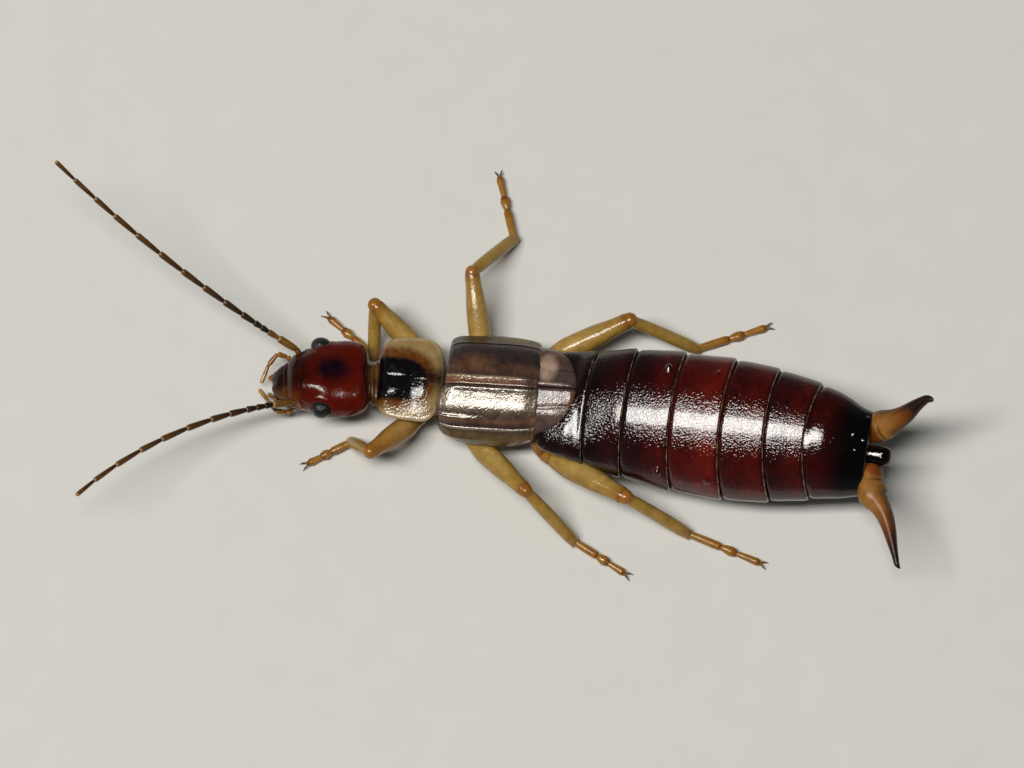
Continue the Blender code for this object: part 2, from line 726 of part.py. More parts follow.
def segment_rings(front, rear, grown=0.0):
    """Sections of one ring of the abdomen, grown outwards and at its rear."""
    frame = body_frame(ABDOMEN_FRONT, ABDOMEN_YAW, ABDOMEN_PITCH)
    start = front + GAP / 2.0
    end = rear - GAP / 2.0 + grown
    rings = []
    for share, swell in SEGMENT_SWELL:
        along = start + (end - start) * share
        *sizes, sideways = blend_rows(ABDOMEN_SECTIONS, along)
        half_width, rise, drop = [swell * value + grown for value in sizes]
        bow, skew = blend_rows(SEGMENT_CURVES, along)
        ring = []
        for wide, high in rounded_section(half_width, rise, drop, TOP_POWER, BASE_POWER, SEGMENT_POINTS):
            side = wide / half_width
            wide, high = rolled(wide, high, ABDOMEN_ROLL * ramp(*ROLL_STRETCH, along))
            ring.append(frame @ Vector((along + bow * side ** 2 - skew * side, wide + sideways, high)))
        rings.append(ring)
    return rings


def make_abdomen():
    """Seven ring-shaped segments, each a little wider at its rear margin, and the end knob."""
    for name, front, rear in zip(SEGMENT_NAMES, SEGMENT_ENDS, SEGMENT_ENDS[1:]):
        ring = loft(segment_rings(front, rear))
        if name == SEGMENT_NAMES[0]:
            room = [loft(wing_tip_rings(side, GAP, WING_TIP_CLEARANCE_HEIGHT)) for side in (1.0, -1.0)]
            ring = combine(ring, room, "DIFFERENCE")
        add_piece(f"abdomen_{name}", ring, MAROON)
    add_piece("pygidium", make_pygidium(), MAROON)


def make_pygidium(grown=0.0):
    """The knob at the abdomen's end, between the arms of the forceps."""
    end_frame = body_frame(ABDOMEN_FRONT, ABDOMEN_YAW, ABDOMEN_PITCH)
    end_frame = end_frame @ Matrix.Translation((SEGMENT_ENDS[-1], 0.0, 0.0))
    end_frame = end_frame @ Matrix.Rotation(math.radians(ABDOMEN_ROLL), 4, "X")
    sections = [(along, *[size + grown for size in sizes]) for along, *sizes in PYGIDIUM_SECTIONS]
    return loft_sections(end_frame, sections, (2.2, 2.2), 20, 1.0, PYGIDIUM_SIDEWAYS, PYGIDIUM_RAISED)


def forceps_route(bearings, stations, root, climb, length):
    """Middle of an arm at each of its stations, from the abdomen's end to the tip."""
    frame = body_frame(ABDOMEN_FRONT, ABDOMEN_YAW, ABDOMEN_PITCH)
    along, wide, high = root
    wide, high = rolled(wide, high, ABDOMEN_ROLL)
    point = frame @ Vector((SEGMENT_ENDS[-1] + along, wide, high))
    route = []
    before = 0.0
    for share, _, _ in stations:
        bearing = blend_rows(bearings, (share + before) / 2.0)[0]
        point = point + length * (share - before) * bearing_vector(bearing, climb)
        before = share
        route.append(point.copy())
    return route


def make_forceps(bearings, stations, root, climb, length):
    """One arm of the pincers: a tapered horn that bows outwards and hooks in, clear of the abdomen's end."""
    rings = []
    for point, station in zip(forceps_route(bearings, stations, root, climb, length), stations):
        share, half_width, half_height = station
        along = bearing_vector(blend_rows(bearings, share)[0], climb)
        across = Vector((0.0, 0.0, 1.0)).cross(along).normalized()
        upward = along.cross(across)
        section = rounded_section(half_width, half_height, half_height, 2.0, 2.0, FORCEPS_POINTS)
        rings.append([point + wide * across + high * upward for wide, high in section])
    last_ring = loft(segment_rings(SEGMENT_ENDS[-2], SEGMENT_ENDS[-1], GAP))
    return combine(loft(rings), [last_ring, make_pygidium(GAP)], "DIFFERENCE")


def limb(start, end, radii, start_plane=None, end_plane=None):
    """A limb with round ends, trimmed square to the bend it shares with each neighbour."""
    along = (end - start).normalized()
    length = (end - start).length
    points, sizes = [], []
    first, last = radii[0][1], radii[-1][1]
    for degrees in (80.0, 50.0, 25.0):
        points.append(start - along * first * math.sin(math.radians(degrees)))
        sizes.append(first * math.cos(math.radians(degrees)))
    for share, radius in radii:
        points.append(start + along * length * share)
        sizes.append(radius)
    for degrees in (25.0, 50.0, 80.0):
        points.append(end + along * last * math.sin(math.radians(degrees)))
        sizes.append(last * math.cos(math.radians(degrees)))
    solid = tube(points, sizes)
    if start_plane is not None:
        cut(solid, start + start_plane * GAP / 2.0, -start_plane)
    if end_plane is not None:
        cut(solid, end - end_plane * GAP / 2.0, end_plane)
    return solid


def leg_joints(pair, side, root, hip, femur_bearing, tibia_bearing, tarsus_bearing, knee_height, reach):
    """Root, hip, knee, ankle and toe of a leg from its lengths, bearings and heights."""
    root, hip = Vector(root), Vector(hip)
    climb = math.degrees(math.asin((knee_height - hip.z) / FEMUR_LENGTH[pair]))
    knee = hip + FEMUR_LENGTH[pair] * bearing_vector(femur_bearing, climb)
    fall = math.degrees(math.asin((ANKLE_HEIGHT - knee_height) / TIBIA_LENGTH[pair]))
    ankle = knee + TIBIA_LENGTH[pair] * bearing_vector(tibia_bearing, fall)
    toe = ankle + reach * bearing_vector(tarsus_bearing)
    toe.z = TOE_HEIGHT
    return root, hip, knee, ankle, toe


def make_claws(toe, bearing):
    """Two claws that spread from the toe and curve down to the floor."""
    ahead = bearing_vector(bearing)
    claws = []
    for spread in (-CLAW_SPREAD, CLAW_SPREAD):
        out = bearing_vector(bearing + spread)
        middle = toe + 0.62 * CLAW_LENGTH * out
        tip = toe + 0.55 * CLAW_LENGTH * (out + ahead)
        middle.z = 0.90 * TOE_HEIGHT
        tip.z = 0.25 * TOE_HEIGHT
        claws.append(tube([toe - 0.05 * ahead, middle, tip], CLAW_RADII, 1))
    return claws


def flatten_sole(solid):
    """Bring all that lies lower than the sole's depth down to the floor, or up to it."""
    for vert in solid.verts:
        if vert.co.z < SOLE_DEPTH:
            vert.co.z = 0.0


def make_leg(pose):
    """Coxa, femur, tibia and tarsus with its claws, each trimmed at the joint planes."""
    pair, side = pose[0], pose[1]
    tag = f"{pair}_{side}"
    root, hip, knee, ankle, toe = leg_joints(*pose)
    ways = [(b - a).normalized() for a, b in ((root, hip), (hip, knee), (knee, ankle), (ankle, toe))]
    hip_plane, knee_plane, ankle_plane = [(a + b).normalized() for a, b in zip(ways, ways[1:])]

    coxa = limb(root, hip, scaled(COXA_SHAPE, COXA_RADIUS), None, hip_plane)
    add_piece(f"coxa_{tag}", coxa, AMBER)
    femur = limb(hip, knee, scaled(FEMUR_SHAPE, FEMUR_RADIUS[pair]), hip_plane, knee_plane)
    add_piece(f"femur_{tag}", femur, STRAW)
    tibia = limb(knee, ankle, scaled(TIBIA_SHAPE, TIBIA_RADIUS), knee_plane, ankle_plane)
    add_piece(f"tibia_{tag}", tibia, STRAW)
    tarsus = limb(ankle, toe, scaled(TARSUS_SHAPE, TARSUS_RADIUS), ankle_plane, None)
    tarsus_bearing = pose[6]
    tarsus = combine(tarsus, make_claws(toe, tarsus_bearing), "UNION")
    flatten_sole(tarsus)
    add_piece(f"tarsus_{tag}", tarsus, STRAW)


clear_scene()
EARWIG = new_collection("earwig")
RED_BROWN = new_material("red_brown", (0.16, 0.022, 0.008), 0.22)
BLACK = new_material("eye_black", (0.006, 0.006, 0.008), 0.25)
BROWN = new_material("mouth_brown", (0.14, 0.05, 0.012), 0.3)
AMBER = new_material("amber", (0.42, 0.20, 0.04), 0.35)
DARK_BROWN = new_material("dark_brown", (0.05, 0.025, 0.008), 0.4)
STRAW = new_material("straw", (0.50, 0.30, 0.08), 0.35)
BRONZE = new_material("bronze", (0.24, 0.14, 0.07), 0.25)
MAROON = new_material("maroon", (0.07, 0.008, 0.006), 0.2)
HORN = new_material("horn", (0.32, 0.10, 0.012), 0.25)

make_head()
add_piece("mandible_R", make_jaw(1.0), BROWN)
add_piece("mandible_L", make_jaw(-1.0), BROWN)
add_piece("maxillary_palp_R", make_palp(PALP_R), AMBER)
add_piece("maxillary_palp_L", make_palp(PALP_L), AMBER)
make_feeler("R", FEELER_R, FEELER_R_LENGTHS)
make_feeler("L", FEELER_L, FEELER_L_LENGTHS)

add_piece("neck", loft_sections(body_frame(NECK_FRONT, 0.0), NECK_SECTIONS, (2.2, 2.2), 20), BROWN)
add_piece("pronotum", make_pronotum(), STRAW)
under_shield = loft_sections(body_frame(PROTHORAX_FRONT, PROTHORAX_YAW), PROTHORAX_SECTIONS, (3.0, 2.4), 20)
add_piece("prothorax", combine(under_shield, coxa_hollows("front"), "DIFFERENCE"), AMBER)
under_wings = loft_sections(body_frame(THORAX_FRONT, THORAX_YAW), THORAX_SECTIONS, (3.0, 2.6), 24)
rear_cups = coxa_hollows("middle") + coxa_hollows("hind")
add_piece("thorax", combine(under_wings, rear_cups, "DIFFERENCE"), DARK_BROWN)
add_piece("tegmen_R", make_tegmen(1.0), BRONZE)
add_piece("tegmen_L", make_tegmen(-1.0), BRONZE)
add_piece("wing_tip_R", make_wing_tip(1.0), BRONZE)
add_piece("wing_tip_L", make_wing_tip(-1.0), BRONZE)

make_abdomen()
add_piece("forceps_R", make_forceps(FORCEPS_R_BEARINGS, FORCEPS_R_STATIONS, *FORCEPS_R), HORN)
add_piece("forceps_L", make_forceps(FORCEPS_L_BEARINGS, FORCEPS_L_STATIONS, *FORCEPS_L), HORN)
for leg in LEG_POSES:
    make_leg(leg)
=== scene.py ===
"""A female earwig with her forceps spread, in fine surfaces over the solids of the part.

She faces -X, her right side is +Y, and she stands on Z = 0. Sizes here are in millimetres and
angles in degrees until a mesh is made. Each surface is a grid of points worked out with numpy.
"""
import math

import bpy
import numpy as np
from mathutils import Matrix


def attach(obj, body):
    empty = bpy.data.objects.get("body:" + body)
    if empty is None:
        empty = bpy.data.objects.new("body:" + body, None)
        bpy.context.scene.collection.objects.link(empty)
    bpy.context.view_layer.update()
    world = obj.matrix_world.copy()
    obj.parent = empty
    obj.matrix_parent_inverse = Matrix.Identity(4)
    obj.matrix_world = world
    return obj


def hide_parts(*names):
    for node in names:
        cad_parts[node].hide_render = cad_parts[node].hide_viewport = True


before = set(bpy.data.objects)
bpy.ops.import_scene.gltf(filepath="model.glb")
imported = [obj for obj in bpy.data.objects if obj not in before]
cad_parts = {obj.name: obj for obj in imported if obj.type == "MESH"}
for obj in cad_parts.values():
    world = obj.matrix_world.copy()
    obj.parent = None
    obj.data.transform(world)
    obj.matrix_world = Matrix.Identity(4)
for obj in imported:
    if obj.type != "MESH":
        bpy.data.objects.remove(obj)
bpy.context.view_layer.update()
MM = 0.001
ROOT = "root"
PIECES = bpy.data.collections.new("earwig_surfaces")
bpy.context.scene.collection.children.link(PIECES)

# The places and slopes of the body, as in the solids.
HEAD = ((-3.41, -0.17, 1.40), 2.5, 9.0, -7.0)
NECK = ((-3.29, -0.29, 1.00), 0.0, 0.0)
SHIELD = ((-2.255, -0.26, 1.36), -5.0, 0.0)
PROTHORAX = ((-2.88, -0.26, 0.92), -3.0, 0.0)
THORAX = ((-1.26, -0.46, 1.16), -7.0, 0.0)
WINGS = ((-1.195, -0.43, 0.0), -4.4, 3.5)
ABDOMEN = ((1.74, -0.90, 1.45), -10.85, 5.5)


# Shapes: the arithmetic that every piece shares.

def axes_of(place):
    """Origin and directions of a body piece: towards the tail, to her right, and up.

    They are turned by yaw and pitch, and by a roll that lifts her right side.
    """
    origin, yaw, pitch, roll = (*place, 0.0)[:4]
    yaw, pitch = math.radians(yaw), math.radians(pitch)
    along = np.array((math.cos(pitch) * math.cos(yaw), math.cos(pitch) * math.sin(yaw), math.sin(pitch)))
    right = np.array((-math.sin(yaw), math.cos(yaw), 0.0))
    upward = np.cross(along, right)
    right, upward = rolled(right, upward, -roll)
    return np.array(origin), np.stack((along, right, upward))


def put(place, along, wide, high):
    """Points at the given distances along, across and up from a body piece's origin."""
    origin, ways = axes_of(place)
    along, wide, high = np.broadcast_arrays(along, wide, high)
    return origin + along[..., None] * ways[0] + wide[..., None] * ways[1] + high[..., None] * ways[2]


def rolled(wide, high, degrees):
    """Across and up after a turn about the axis that lifts her right side and lowers her left."""
    turn = np.radians(degrees)
    return wide * np.cos(turn) - high * np.sin(turn), high * np.cos(turn) + wide * np.sin(turn)


def bearing(degrees, climb=0.0):
    """Unit vectors at bearings in the floor's plane and climbs above it."""
    turn, lift = np.radians(degrees), np.radians(climb)
    turn, lift = np.broadcast_arrays(turn, lift)
    return np.stack((np.cos(lift) * np.cos(turn), np.cos(lift) * np.sin(turn), np.sin(lift)), axis=-1)


def smooth(table, x):
    """Smooth curve through the rows of a table, whose first column is the place and the rest are values.

    Each stretch is a cubic. Its slope at a row is the harmonic mean of the slopes on both sides,
    or level where they differ in sign, so that the curve never passes beyond its rows.
    """
    table = np.asarray(table, float)
    x = np.asarray(x, float)
    knots, values = table[:, 0], table[:, 1:]
    step = np.diff(knots)[:, None]
    rate = np.diff(values, axis=0) / step
    product = rate[:-1] * rate[1:]
    total = np.where(product > 0.0, rate[:-1] + rate[1:], 1.0)
    middle = np.where(product > 0.0, 2.0 * product / total, 0.0)
    slope = np.vstack((rate[:1], middle, rate[-1:]))
    row = np.clip(np.searchsorted(knots, x, side="right") - 1, 0, len(knots) - 2)
    width = step[row]
    share = np.clip((x[..., None] - knots[row][..., None]) / width, 0.0, 1.0)
    cubed, squared = share ** 3, share ** 2
    start = (2.0 * cubed - 3.0 * squared + 1.0) * values[row] + (cubed - 2.0 * squared + share) * width * slope[row]
    end = (3.0 * squared - 2.0 * cubed) * values[row + 1] + (cubed - squared) * width * slope[row + 1]
    return start + end


def ramp(low, high, x):
    """0 before low and 1 after high, easing between them as 3t^2 - 2t^3."""
    t = np.clip((x - low) / (high - low), 0.0, 1.0)
    return t * t * (3.0 - 2.0 * t)


def hill(x, centre, reach):
    """A bell of height 1 at its centre: exp(-((x - centre) / reach)^2)."""
    return np.exp(-((x - centre) / reach) ** 2)


def oval(turn, half_width, rise, drop, top_power=2.0, base_power=2.0):
    """Across and up on a superellipse at each turn, with its own height and power above and below."""
    across, upward = np.cos(turn), np.sin(turn)
    power = np.where(upward >= 0.0, top_power, base_power)
    height = np.where(upward >= 0.0, rise, drop)
    wide = half_width * np.sign(across) * np.abs(across) ** (2.0 / power)
    high = height * np.sign(upward) * np.abs(upward) ** (2.0 / power)
    return wide, high


def turns(count):
    """Angles once round a section."""
    return np.arange(count)[None, :] * (2.0 * math.pi / count)


def eased(count, start=0.0, end=1.0):
    """Shares from start to end that crowd together at both ends, as a cosine does."""
    return start + (end - start) * 0.5 * (1.0 - np.cos(np.linspace(0.0, math.pi, count)))


def sweep(path, half_width, half_height, count=32, upright=(0.0, 0.0, 1.0), power=2.0):
    """Tube along a path: at each point an oval square to the path, whose sides lie level.

    Across is upright x the path's direction, and up is the path's direction x across.
    Returns the grid of points and the turn of each column.
    """
    way = np.gradient(path, axis=0)
    way /= np.linalg.norm(way, axis=1, keepdims=True)
    across = np.cross(np.asarray(upright, float), way)
    across /= np.linalg.norm(across, axis=1, keepdims=True)
    upward = np.cross(way, across)
    turn = turns(count)
    wide, high = oval(turn, np.asarray(half_width)[:, None], np.asarray(half_height)[:, None],
                      np.asarray(half_height)[:, None], power, power)
    points = path[:, None, :] + wide[..., None] * across[:, None, :] + high[..., None] * upward[:, None, :]
    return points, np.broadcast_to(turn, wide.shape)


def straight(start, end, shares, bow=0.0, bow_way=(0.0, 0.0, 1.0)):
    """Path from start to end at the given shares, bowed sideways as sin(pi * share)."""
    start, end = np.asarray(start, float), np.asarray(end, float)
    shares = np.asarray(shares)[:, None]
    return start + (end - start) * shares + bow * np.sin(math.pi * shares) * np.asarray(bow_way, float)


# Meshes.

def faces_of(rows, columns, first):
    """Corners of the quads and end triangles of one grid whose points start at first, and its two end middles."""
    index = first + np.arange(rows * columns).reshape(rows, columns)
    after = np.roll(index, -1, axis=1)
    quads = np.stack((index[:-1], after[:-1], after[1:], index[1:]), axis=-1).reshape(-1, 4)
    front, rear = first + rows * columns, first + rows * columns + 1
    fans = np.concatenate((
        np.stack((after[0], index[0], np.full(columns, front)), axis=-1),
        np.stack((index[-1], after[-1], np.full(columns, rear)), axis=-1),
    ))
    return quads, fans


def volume_sign(points, quads, fans):
    """Sign of the volume that the faces close: the sum of p0 . (p1 x p2) over their triangles."""
    corners = np.concatenate((quads[:, :3], quads[:, [0, 2, 3]], fans))
    p = points[corners]
    return np.sign(np.sum(p[:, 0] * np.cross(p[:, 1], p[:, 2])))


def surface(name, grids, finish, nodes=(), marks=None):
    """One piece from grids of points in millimetres, each closed round its columns and by a fan at each end.

    marks gives, for each named attribute, one value for each point of every grid.
    """
    points, quads, fans, values = [], [], [], {key: [] for key in (marks or {})}
    first = 0
    for number, grid in enumerate(grids):
        rows, columns = grid.shape[:2]
        own = np.vstack((grid.reshape(-1, 3), grid[:1].mean(axis=1), grid[-1:].mean(axis=1)))
        some_quads, some_fans = faces_of(rows, columns, first)
        if volume_sign(own - own.mean(axis=0), some_quads - first, some_fans - first) < 0.0:
            some_quads, some_fans = some_quads[:, ::-1], some_fans[:, ::-1]
        for key in values:
            mark = np.broadcast_to(marks[key][number], (rows, columns))
            values[key].append(np.concatenate((mark.ravel(), [mark[0].mean(), mark[-1].mean()])))
        points.append(own)
        quads.append(some_quads)
        fans.append(some_fans)
        first += len(own)
    points, quads, fans = np.vstack(points), np.vstack(quads), np.vstack(fans)
    corners = np.concatenate((quads.ravel(), fans.ravel())).astype(np.int32)
    starts = np.concatenate((np.arange(len(quads)) * 4, len(quads) * 4 + np.arange(len(fans)) * 3)).astype(np.int32)
    mesh = bpy.data.meshes.new(name)
    mesh.vertices.add(len(points))
    mesh.vertices.foreach_set("co", (points * MM).astype(np.float32).ravel())
    mesh.loops.add(len(corners))
    mesh.loops.foreach_set("vertex_index", corners)
    mesh.polygons.add(len(starts))
    mesh.polygons.foreach_set("loop_start", starts)
    for key, parts in values.items():
        layer = mesh.attributes.new(key, "FLOAT", "POINT")
        layer.data.foreach_set("value", np.concatenate(parts).astype(np.float32))
    mesh.update(calc_edges=True)
    mesh.shade_smooth()
    mesh.materials.append(finish)
    piece = bpy.data.objects.new(name, mesh)
    PIECES.objects.link(piece)
    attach(piece, ROOT)
    if nodes:
        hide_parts(*nodes)
    return piece


# Finishes. Each colour is mixed by the marks that its surfaces carry and broken up by noise.

def add_node(tree, kind, inputs=(), **settings):
    """A node with its settings and the values of its unlinked sockets."""
    made = tree.nodes.new(kind)
    for key, value in settings.items():
        setattr(made, key, value)
    for key, value in dict(inputs).items():
        made.inputs[key].default_value = value
    return made


def noise(tree, coords, scale, detail=4.0, distortion=0.0):
    """Cloudy noise from 0 to 1 with features about 1 / scale metres across."""
    made = add_node(tree, "ShaderNodeTexNoise", {"Scale": scale, "Detail": detail, "Distortion": distortion})
    tree.links.new(coords, made.inputs["Vector"])
    return made.outputs["Fac"]


def spread(tree, value, low, high):
    """The middle of a noise stretched to run from low to high."""
    made = add_node(tree, "ShaderNodeMapRange", {"From Min": 0.3, "From Max": 0.7, "To Min": low, "To Max": high})
    tree.links.new(value, made.inputs["Value"])
    return made.outputs["Result"]


def mixed(tree, factor, first, second, way="MIX"):
    """Two colours mixed by a factor; a colour is either a socket or three numbers."""
    made = add_node(tree, "ShaderNodeMix", data_type="RGBA", blend_type=way)
    for socket, colour in ((made.inputs[6], first), (made.inputs[7], second)):
        if isinstance(colour, tuple):
            socket.default_value = (*colour, 1.0)
        else:
            tree.links.new(colour, socket)
    if isinstance(factor, float):
        made.inputs[0].default_value = factor
    else:
        tree.links.new(factor, made.inputs[0])
    return made.outputs[2]


def ragged_mark(tree, mark, cloud, raggedness):
    """A surface's own mark with its edge broken by noise: mark + raggedness x (noise - 0.5), kept in 0 to 1."""
    own = add_node(tree, "ShaderNodeAttribute", attribute_name=mark).outputs["Fac"]
    shift = add_node(tree, "ShaderNodeMath", operation="MULTIPLY_ADD")
    tree.links.new(cloud, shift.inputs[0])
    shift.inputs[1].default_value = raggedness
    shift.inputs[2].default_value = -0.5 * raggedness
    scaled = add_node(tree, "ShaderNodeMath", operation="MULTIPLY")
    edge = add_node(tree, "ShaderNodeMapRange", {"From Min": 0.0, "From Max": 0.25})
    tree.links.new(own, edge.inputs["Value"])
    tree.links.new(shift.outputs[0], scaled.inputs[0])
    tree.links.new(edge.outputs["Result"], scaled.inputs[1])
    total = add_node(tree, "ShaderNodeMath", operation="ADD", use_clamp=True)
    tree.links.new(own, total.inputs[0])
    tree.links.new(scaled.outputs[0], total.inputs[1])
    return total.outputs[0]


def cuticle(name, colour, tones=(), mottle=(3000.0, 0.25), roughness=(0.30, 0.42), grain=(25000.0, 6e-6),
            dents=(5000.0, 6e-6), pits=None, coat=0.0, coat_roughness=0.08, glow=0.0, glow_depth=1.5e-4,
            specular=0.5, tint=None):
    """Insect skin: a cloudy colour, tones laid on by marks, fine grain, soft dents and pits, and a gloss."""
    made = bpy.data.materials.new(name)
    made.use_nodes = True
    tree = made.node_tree
    shader = tree.nodes["Principled BSDF"]
    coords = add_node(tree, "ShaderNodeTexCoord").outputs["Object"]
    cloud = noise(tree, coords, mottle[0], 6.0, 0.4)
    shade = spread(tree, cloud, 1.0 - mottle[1], 1.0 + mottle[1])
    ragged = noise(tree, coords, 2.7 * mottle[0], 5.0)
    result = colour
    for mark, tone, raggedness in tones:
        result = mixed(tree, ragged_mark(tree, mark, ragged, raggedness), result, tone)
    grey = add_node(tree, "ShaderNodeCombineColor")
    for channel in range(3):
        tree.links.new(shade, grey.inputs[channel])
    tree.links.new(mixed(tree, 1.0, result, grey.outputs[0], "MULTIPLY"), shader.inputs["Base Color"])
    fine = noise(tree, coords, grain[0], 1.0)
    tree.links.new(spread(tree, fine, *roughness), shader.inputs["Roughness"])
    heights = [(fine, grain[1]), (noise(tree, coords, dents[0], 2.0), dents[1])]
    if pits is not None:
        cells = add_node(tree, "ShaderNodeTexVoronoi", {"Scale": pits[0]}, feature="F1")
        tree.links.new(coords, cells.inputs["Vector"])
        heights.append((cells.outputs["Distance"], pits[1]))
    normal = None
    for height, depth in heights:
        bump = add_node(tree, "ShaderNodeBump", {"Strength": 1.0, "Distance": depth})
        tree.links.new(height, bump.inputs["Height"])
        if normal is not None:
            tree.links.new(normal, bump.inputs["Normal"])
        normal = bump.outputs["Normal"]
    tree.links.new(normal, shader.inputs["Normal"])
    shader.inputs["Coat Weight"].default_value = coat
    shader.inputs["Coat Roughness"].default_value = coat_roughness
    shader.inputs["Specular IOR Level"].default_value = specular
    if tint is not None:
        shader.inputs["Specular Tint"].default_value = (*tint, 1.0)
    if glow > 0.0:
        shader.inputs["Subsurface Weight"].default_value = glow
        shader.inputs["Subsurface Radius"].default_value = (1.0, 0.55, 0.25)
        shader.inputs["Subsurface Scale"].default_value = glow_depth
    return made


HEAD_RED = cuticle("head_red_brown", (0.086, 0.0050, 0.0011), (
    ("umber", (0.015, 0.0020, 0.0006), 0.5), ("dark", (0.0065, 0.0018, 0.0060), 0.5), ("orange", (0.17, 0.055, 0.008), 0.4)),
    mottle=(2500.0, 0.22), roughness=(0.12, 0.17), grain=(18000.0, 5e-6), dents=(6000.0, 1.2e-5), specular=0.24,
    coat=0.16)
# On the eyes the "dark" tone is a lighter grey: a painted glint laid on their tops.
EYE_BLACK = cuticle("eye_black", (0.003, 0.003, 0.004), (("dark", (0.020, 0.020, 0.022), 0.2),),
                    mottle=(9000.0, 0.3), roughness=(0.12, 0.18), grain=(40000.0, 1e-6), dents=(9000.0, 1e-6),
                    pits=(36000.0, 7e-6), specular=0.3)
MOUTH_BROWN = cuticle("mouth_brown", (0.040, 0.0055, 0.0016), (
    ("dark", (0.008, 0.003, 0.003), 0.4), ("orange", (0.15, 0.065, 0.009), 0.4)),
    mottle=(5000.0, 0.3), roughness=(0.15, 0.22), grain=(20000.0, 3e-6), specular=0.20, coat=0.05)
PALP_AMBER = cuticle("palp_amber", (0.24, 0.100, 0.012), (
    ("dark", (0.10, 0.030, 0.004), 0.4), ("pale", (0.42, 0.26, 0.08), 0.3)),
    mottle=(7000.0, 0.25), roughness=(0.18, 0.26), grain=(24000.0, 3e-6), glow=0.25)
FEELER_BROWN = cuticle("feeler_brown", (0.050, 0.018, 0.004), (
    ("orange", (0.19, 0.078, 0.008), 0.4), ("dark", (0.009, 0.005, 0.003), 0.4), ("pale", (0.36, 0.24, 0.10), 0.3)),
    mottle=(9000.0, 0.35), roughness=(0.24, 0.34), grain=(40000.0, 2e-6), dents=(12000.0, 2e-6))
NECK_BROWN = cuticle("neck_brown", (0.085, 0.028, 0.004), (
    ("dark", (0.03, 0.010, 0.003), 0.5), ("pale", (0.26, 0.13, 0.03), 0.4)),
    mottle=(5000.0, 0.3), roughness=(0.20, 0.30))
SHIELD_STRAW = cuticle("shield_straw", (0.30, 0.205, 0.085), (
    ("brown", (0.12, 0.034, 0.006), 0.8), ("dark", (0.0020, 0.0022, 0.004), 0.35), ("pale", (0.50, 0.40, 0.24), 0.3)),
    mottle=(3500.0, 0.20), roughness=(0.12, 0.18), grain=(17000.0, 1.1e-5), dents=(7000.0, 4e-6), glow=0.12, coat=0.25,
    specular=0.4)
WING_BRONZE = cuticle("wing_case_bronze", (0.034, 0.020, 0.018), (
    ("copper", (0.17, 0.078, 0.036), 0.9), ("dark", (0.010, 0.006, 0.007), 0.5), ("olive", (0.13, 0.082, 0.026), 0.5),
    ("pale", (0.42, 0.32, 0.20), 0.4)),
    mottle=(3200.0, 0.45), roughness=(0.16, 0.24), grain=(18000.0, 9e-6), dents=(6000.0, 9e-6), specular=0.85,
    tint=(1.0, 0.94, 0.84), coat=0.42, coat_roughness=0.14)
WING_TIP_BRONZE = cuticle("wing_tip_bronze", (0.070, 0.044, 0.040), (
    ("copper", (0.20, 0.075, 0.020), 0.8), ("dark", (0.012, 0.007, 0.008), 0.5), ("pale", (0.34, 0.24, 0.175), 0.5)),
    mottle=(4200.0, 0.35), roughness=(0.16, 0.24), grain=(18000.0, 9e-6), dents=(5200.0, 9e-6), specular=0.5, coat=0.15)
RING_MAROON = cuticle("ring_maroon", (0.0085, 0.0012, 0.0016), (
    ("red", (0.100, 0.0055, 0.0022), 0.7), ("dark", (0.0022, 0.0010, 0.0014), 0.6), ("amber", (0.13, 0.045, 0.008), 0.6),
    ("gold", (0.42, 0.29, 0.15), 0.25)),
    mottle=(2600.0, 0.35), roughness=(0.09, 0.13), grain=(18000.0, 1.25e-5), dents=(12000.0, 2e-6), specular=0.42,
    coat=0.50, coat_roughness=0.10)
END_MAROON = cuticle("end_maroon", (0.0060, 0.0010, 0.0013), (
    ("red", (0.060, 0.0035, 0.0016), 0.7), ("dark", (0.0014, 0.0007, 0.0009), 0.6), ("amber", (0.10, 0.034, 0.006), 0.6)),
    mottle=(2600.0, 0.35), roughness=(0.08, 0.12), grain=(18000.0, 3.5e-6), dents=(9000.0, 5e-6), specular=0.34,
    coat=0.40, coat_roughness=0.08)
HORN_AMBER = cuticle("pincer_horn", (0.185, 0.048, 0.0040), (
    ("amber", (0.30, 0.140, 0.028), 0.5), ("dark", (0.014, 0.0035, 0.002), 0.35)),
    mottle=(4200.0, 0.22), roughness=(0.30, 0.38), grain=(20000.0, 3e-6), glow=0.12, specular=0.28)
LEG_STRAW = cuticle("leg_straw", (0.33, 0.195, 0.036), (
    ("orange", (0.29, 0.105, 0.010), 0.5), ("pale", (0.46, 0.32, 0.11), 0.5), ("dark", (0.06, 0.02, 0.006), 0.3)),
    mottle=(4200.0, 0.20), roughness=(0.16, 0.24), grain=(20000.0, 5e-6), dents=(8000.0, 5e-6), glow=0.25)
UNDER_BROWN = cuticle("underside_brown", (0.05, 0.018, 0.006), (
    ("dark", (0.012, 0.006, 0.004), 0.5), ("pale", (0.20, 0.12, 0.04), 0.5)),
    mottle=(4000.0, 0.3), roughness=(0.22, 0.32))


# The head, its eyes and the parts of the mouth.

CAPSULE = (
    (-0.06, 0.08, 0.04, 0.04),
    (-0.045, 0.46, 0.22, 0.24),
    (-0.01, 0.70, 0.34, 0.38),
    (0.06, 0.86, 0.41, 0.46),
    (0.16, 0.95, 0.425, 0.50),
    (0.34, 1.02, 0.450, 0.55),
    (0.60, 1.06, 0.520, 0.57),
    (0.90, 1.06, 0.612, 0.57),
    (1.15, 1.015, 0.690, 0.56),
    (1.28, 0.970, 0.710, 0.54),
    (1.45, 0.905, 0.710, 0.52),
    (1.62, 0.845, 0.700, 0.48),
    (1.78, 0.795, 0.660, 0.44),
    (1.90, 0.745, 0.610, 0.40),
    (2.02, 0.685, 0.530, 0.35),
    (2.10, 0.620, 0.450, 0.28),
    (2.15, 0.500, 0.330, 0.18),
    (2.165, 0.30, 0.180, 0.10),
    (2.17, 0.060, 0.030, 0.03),
)
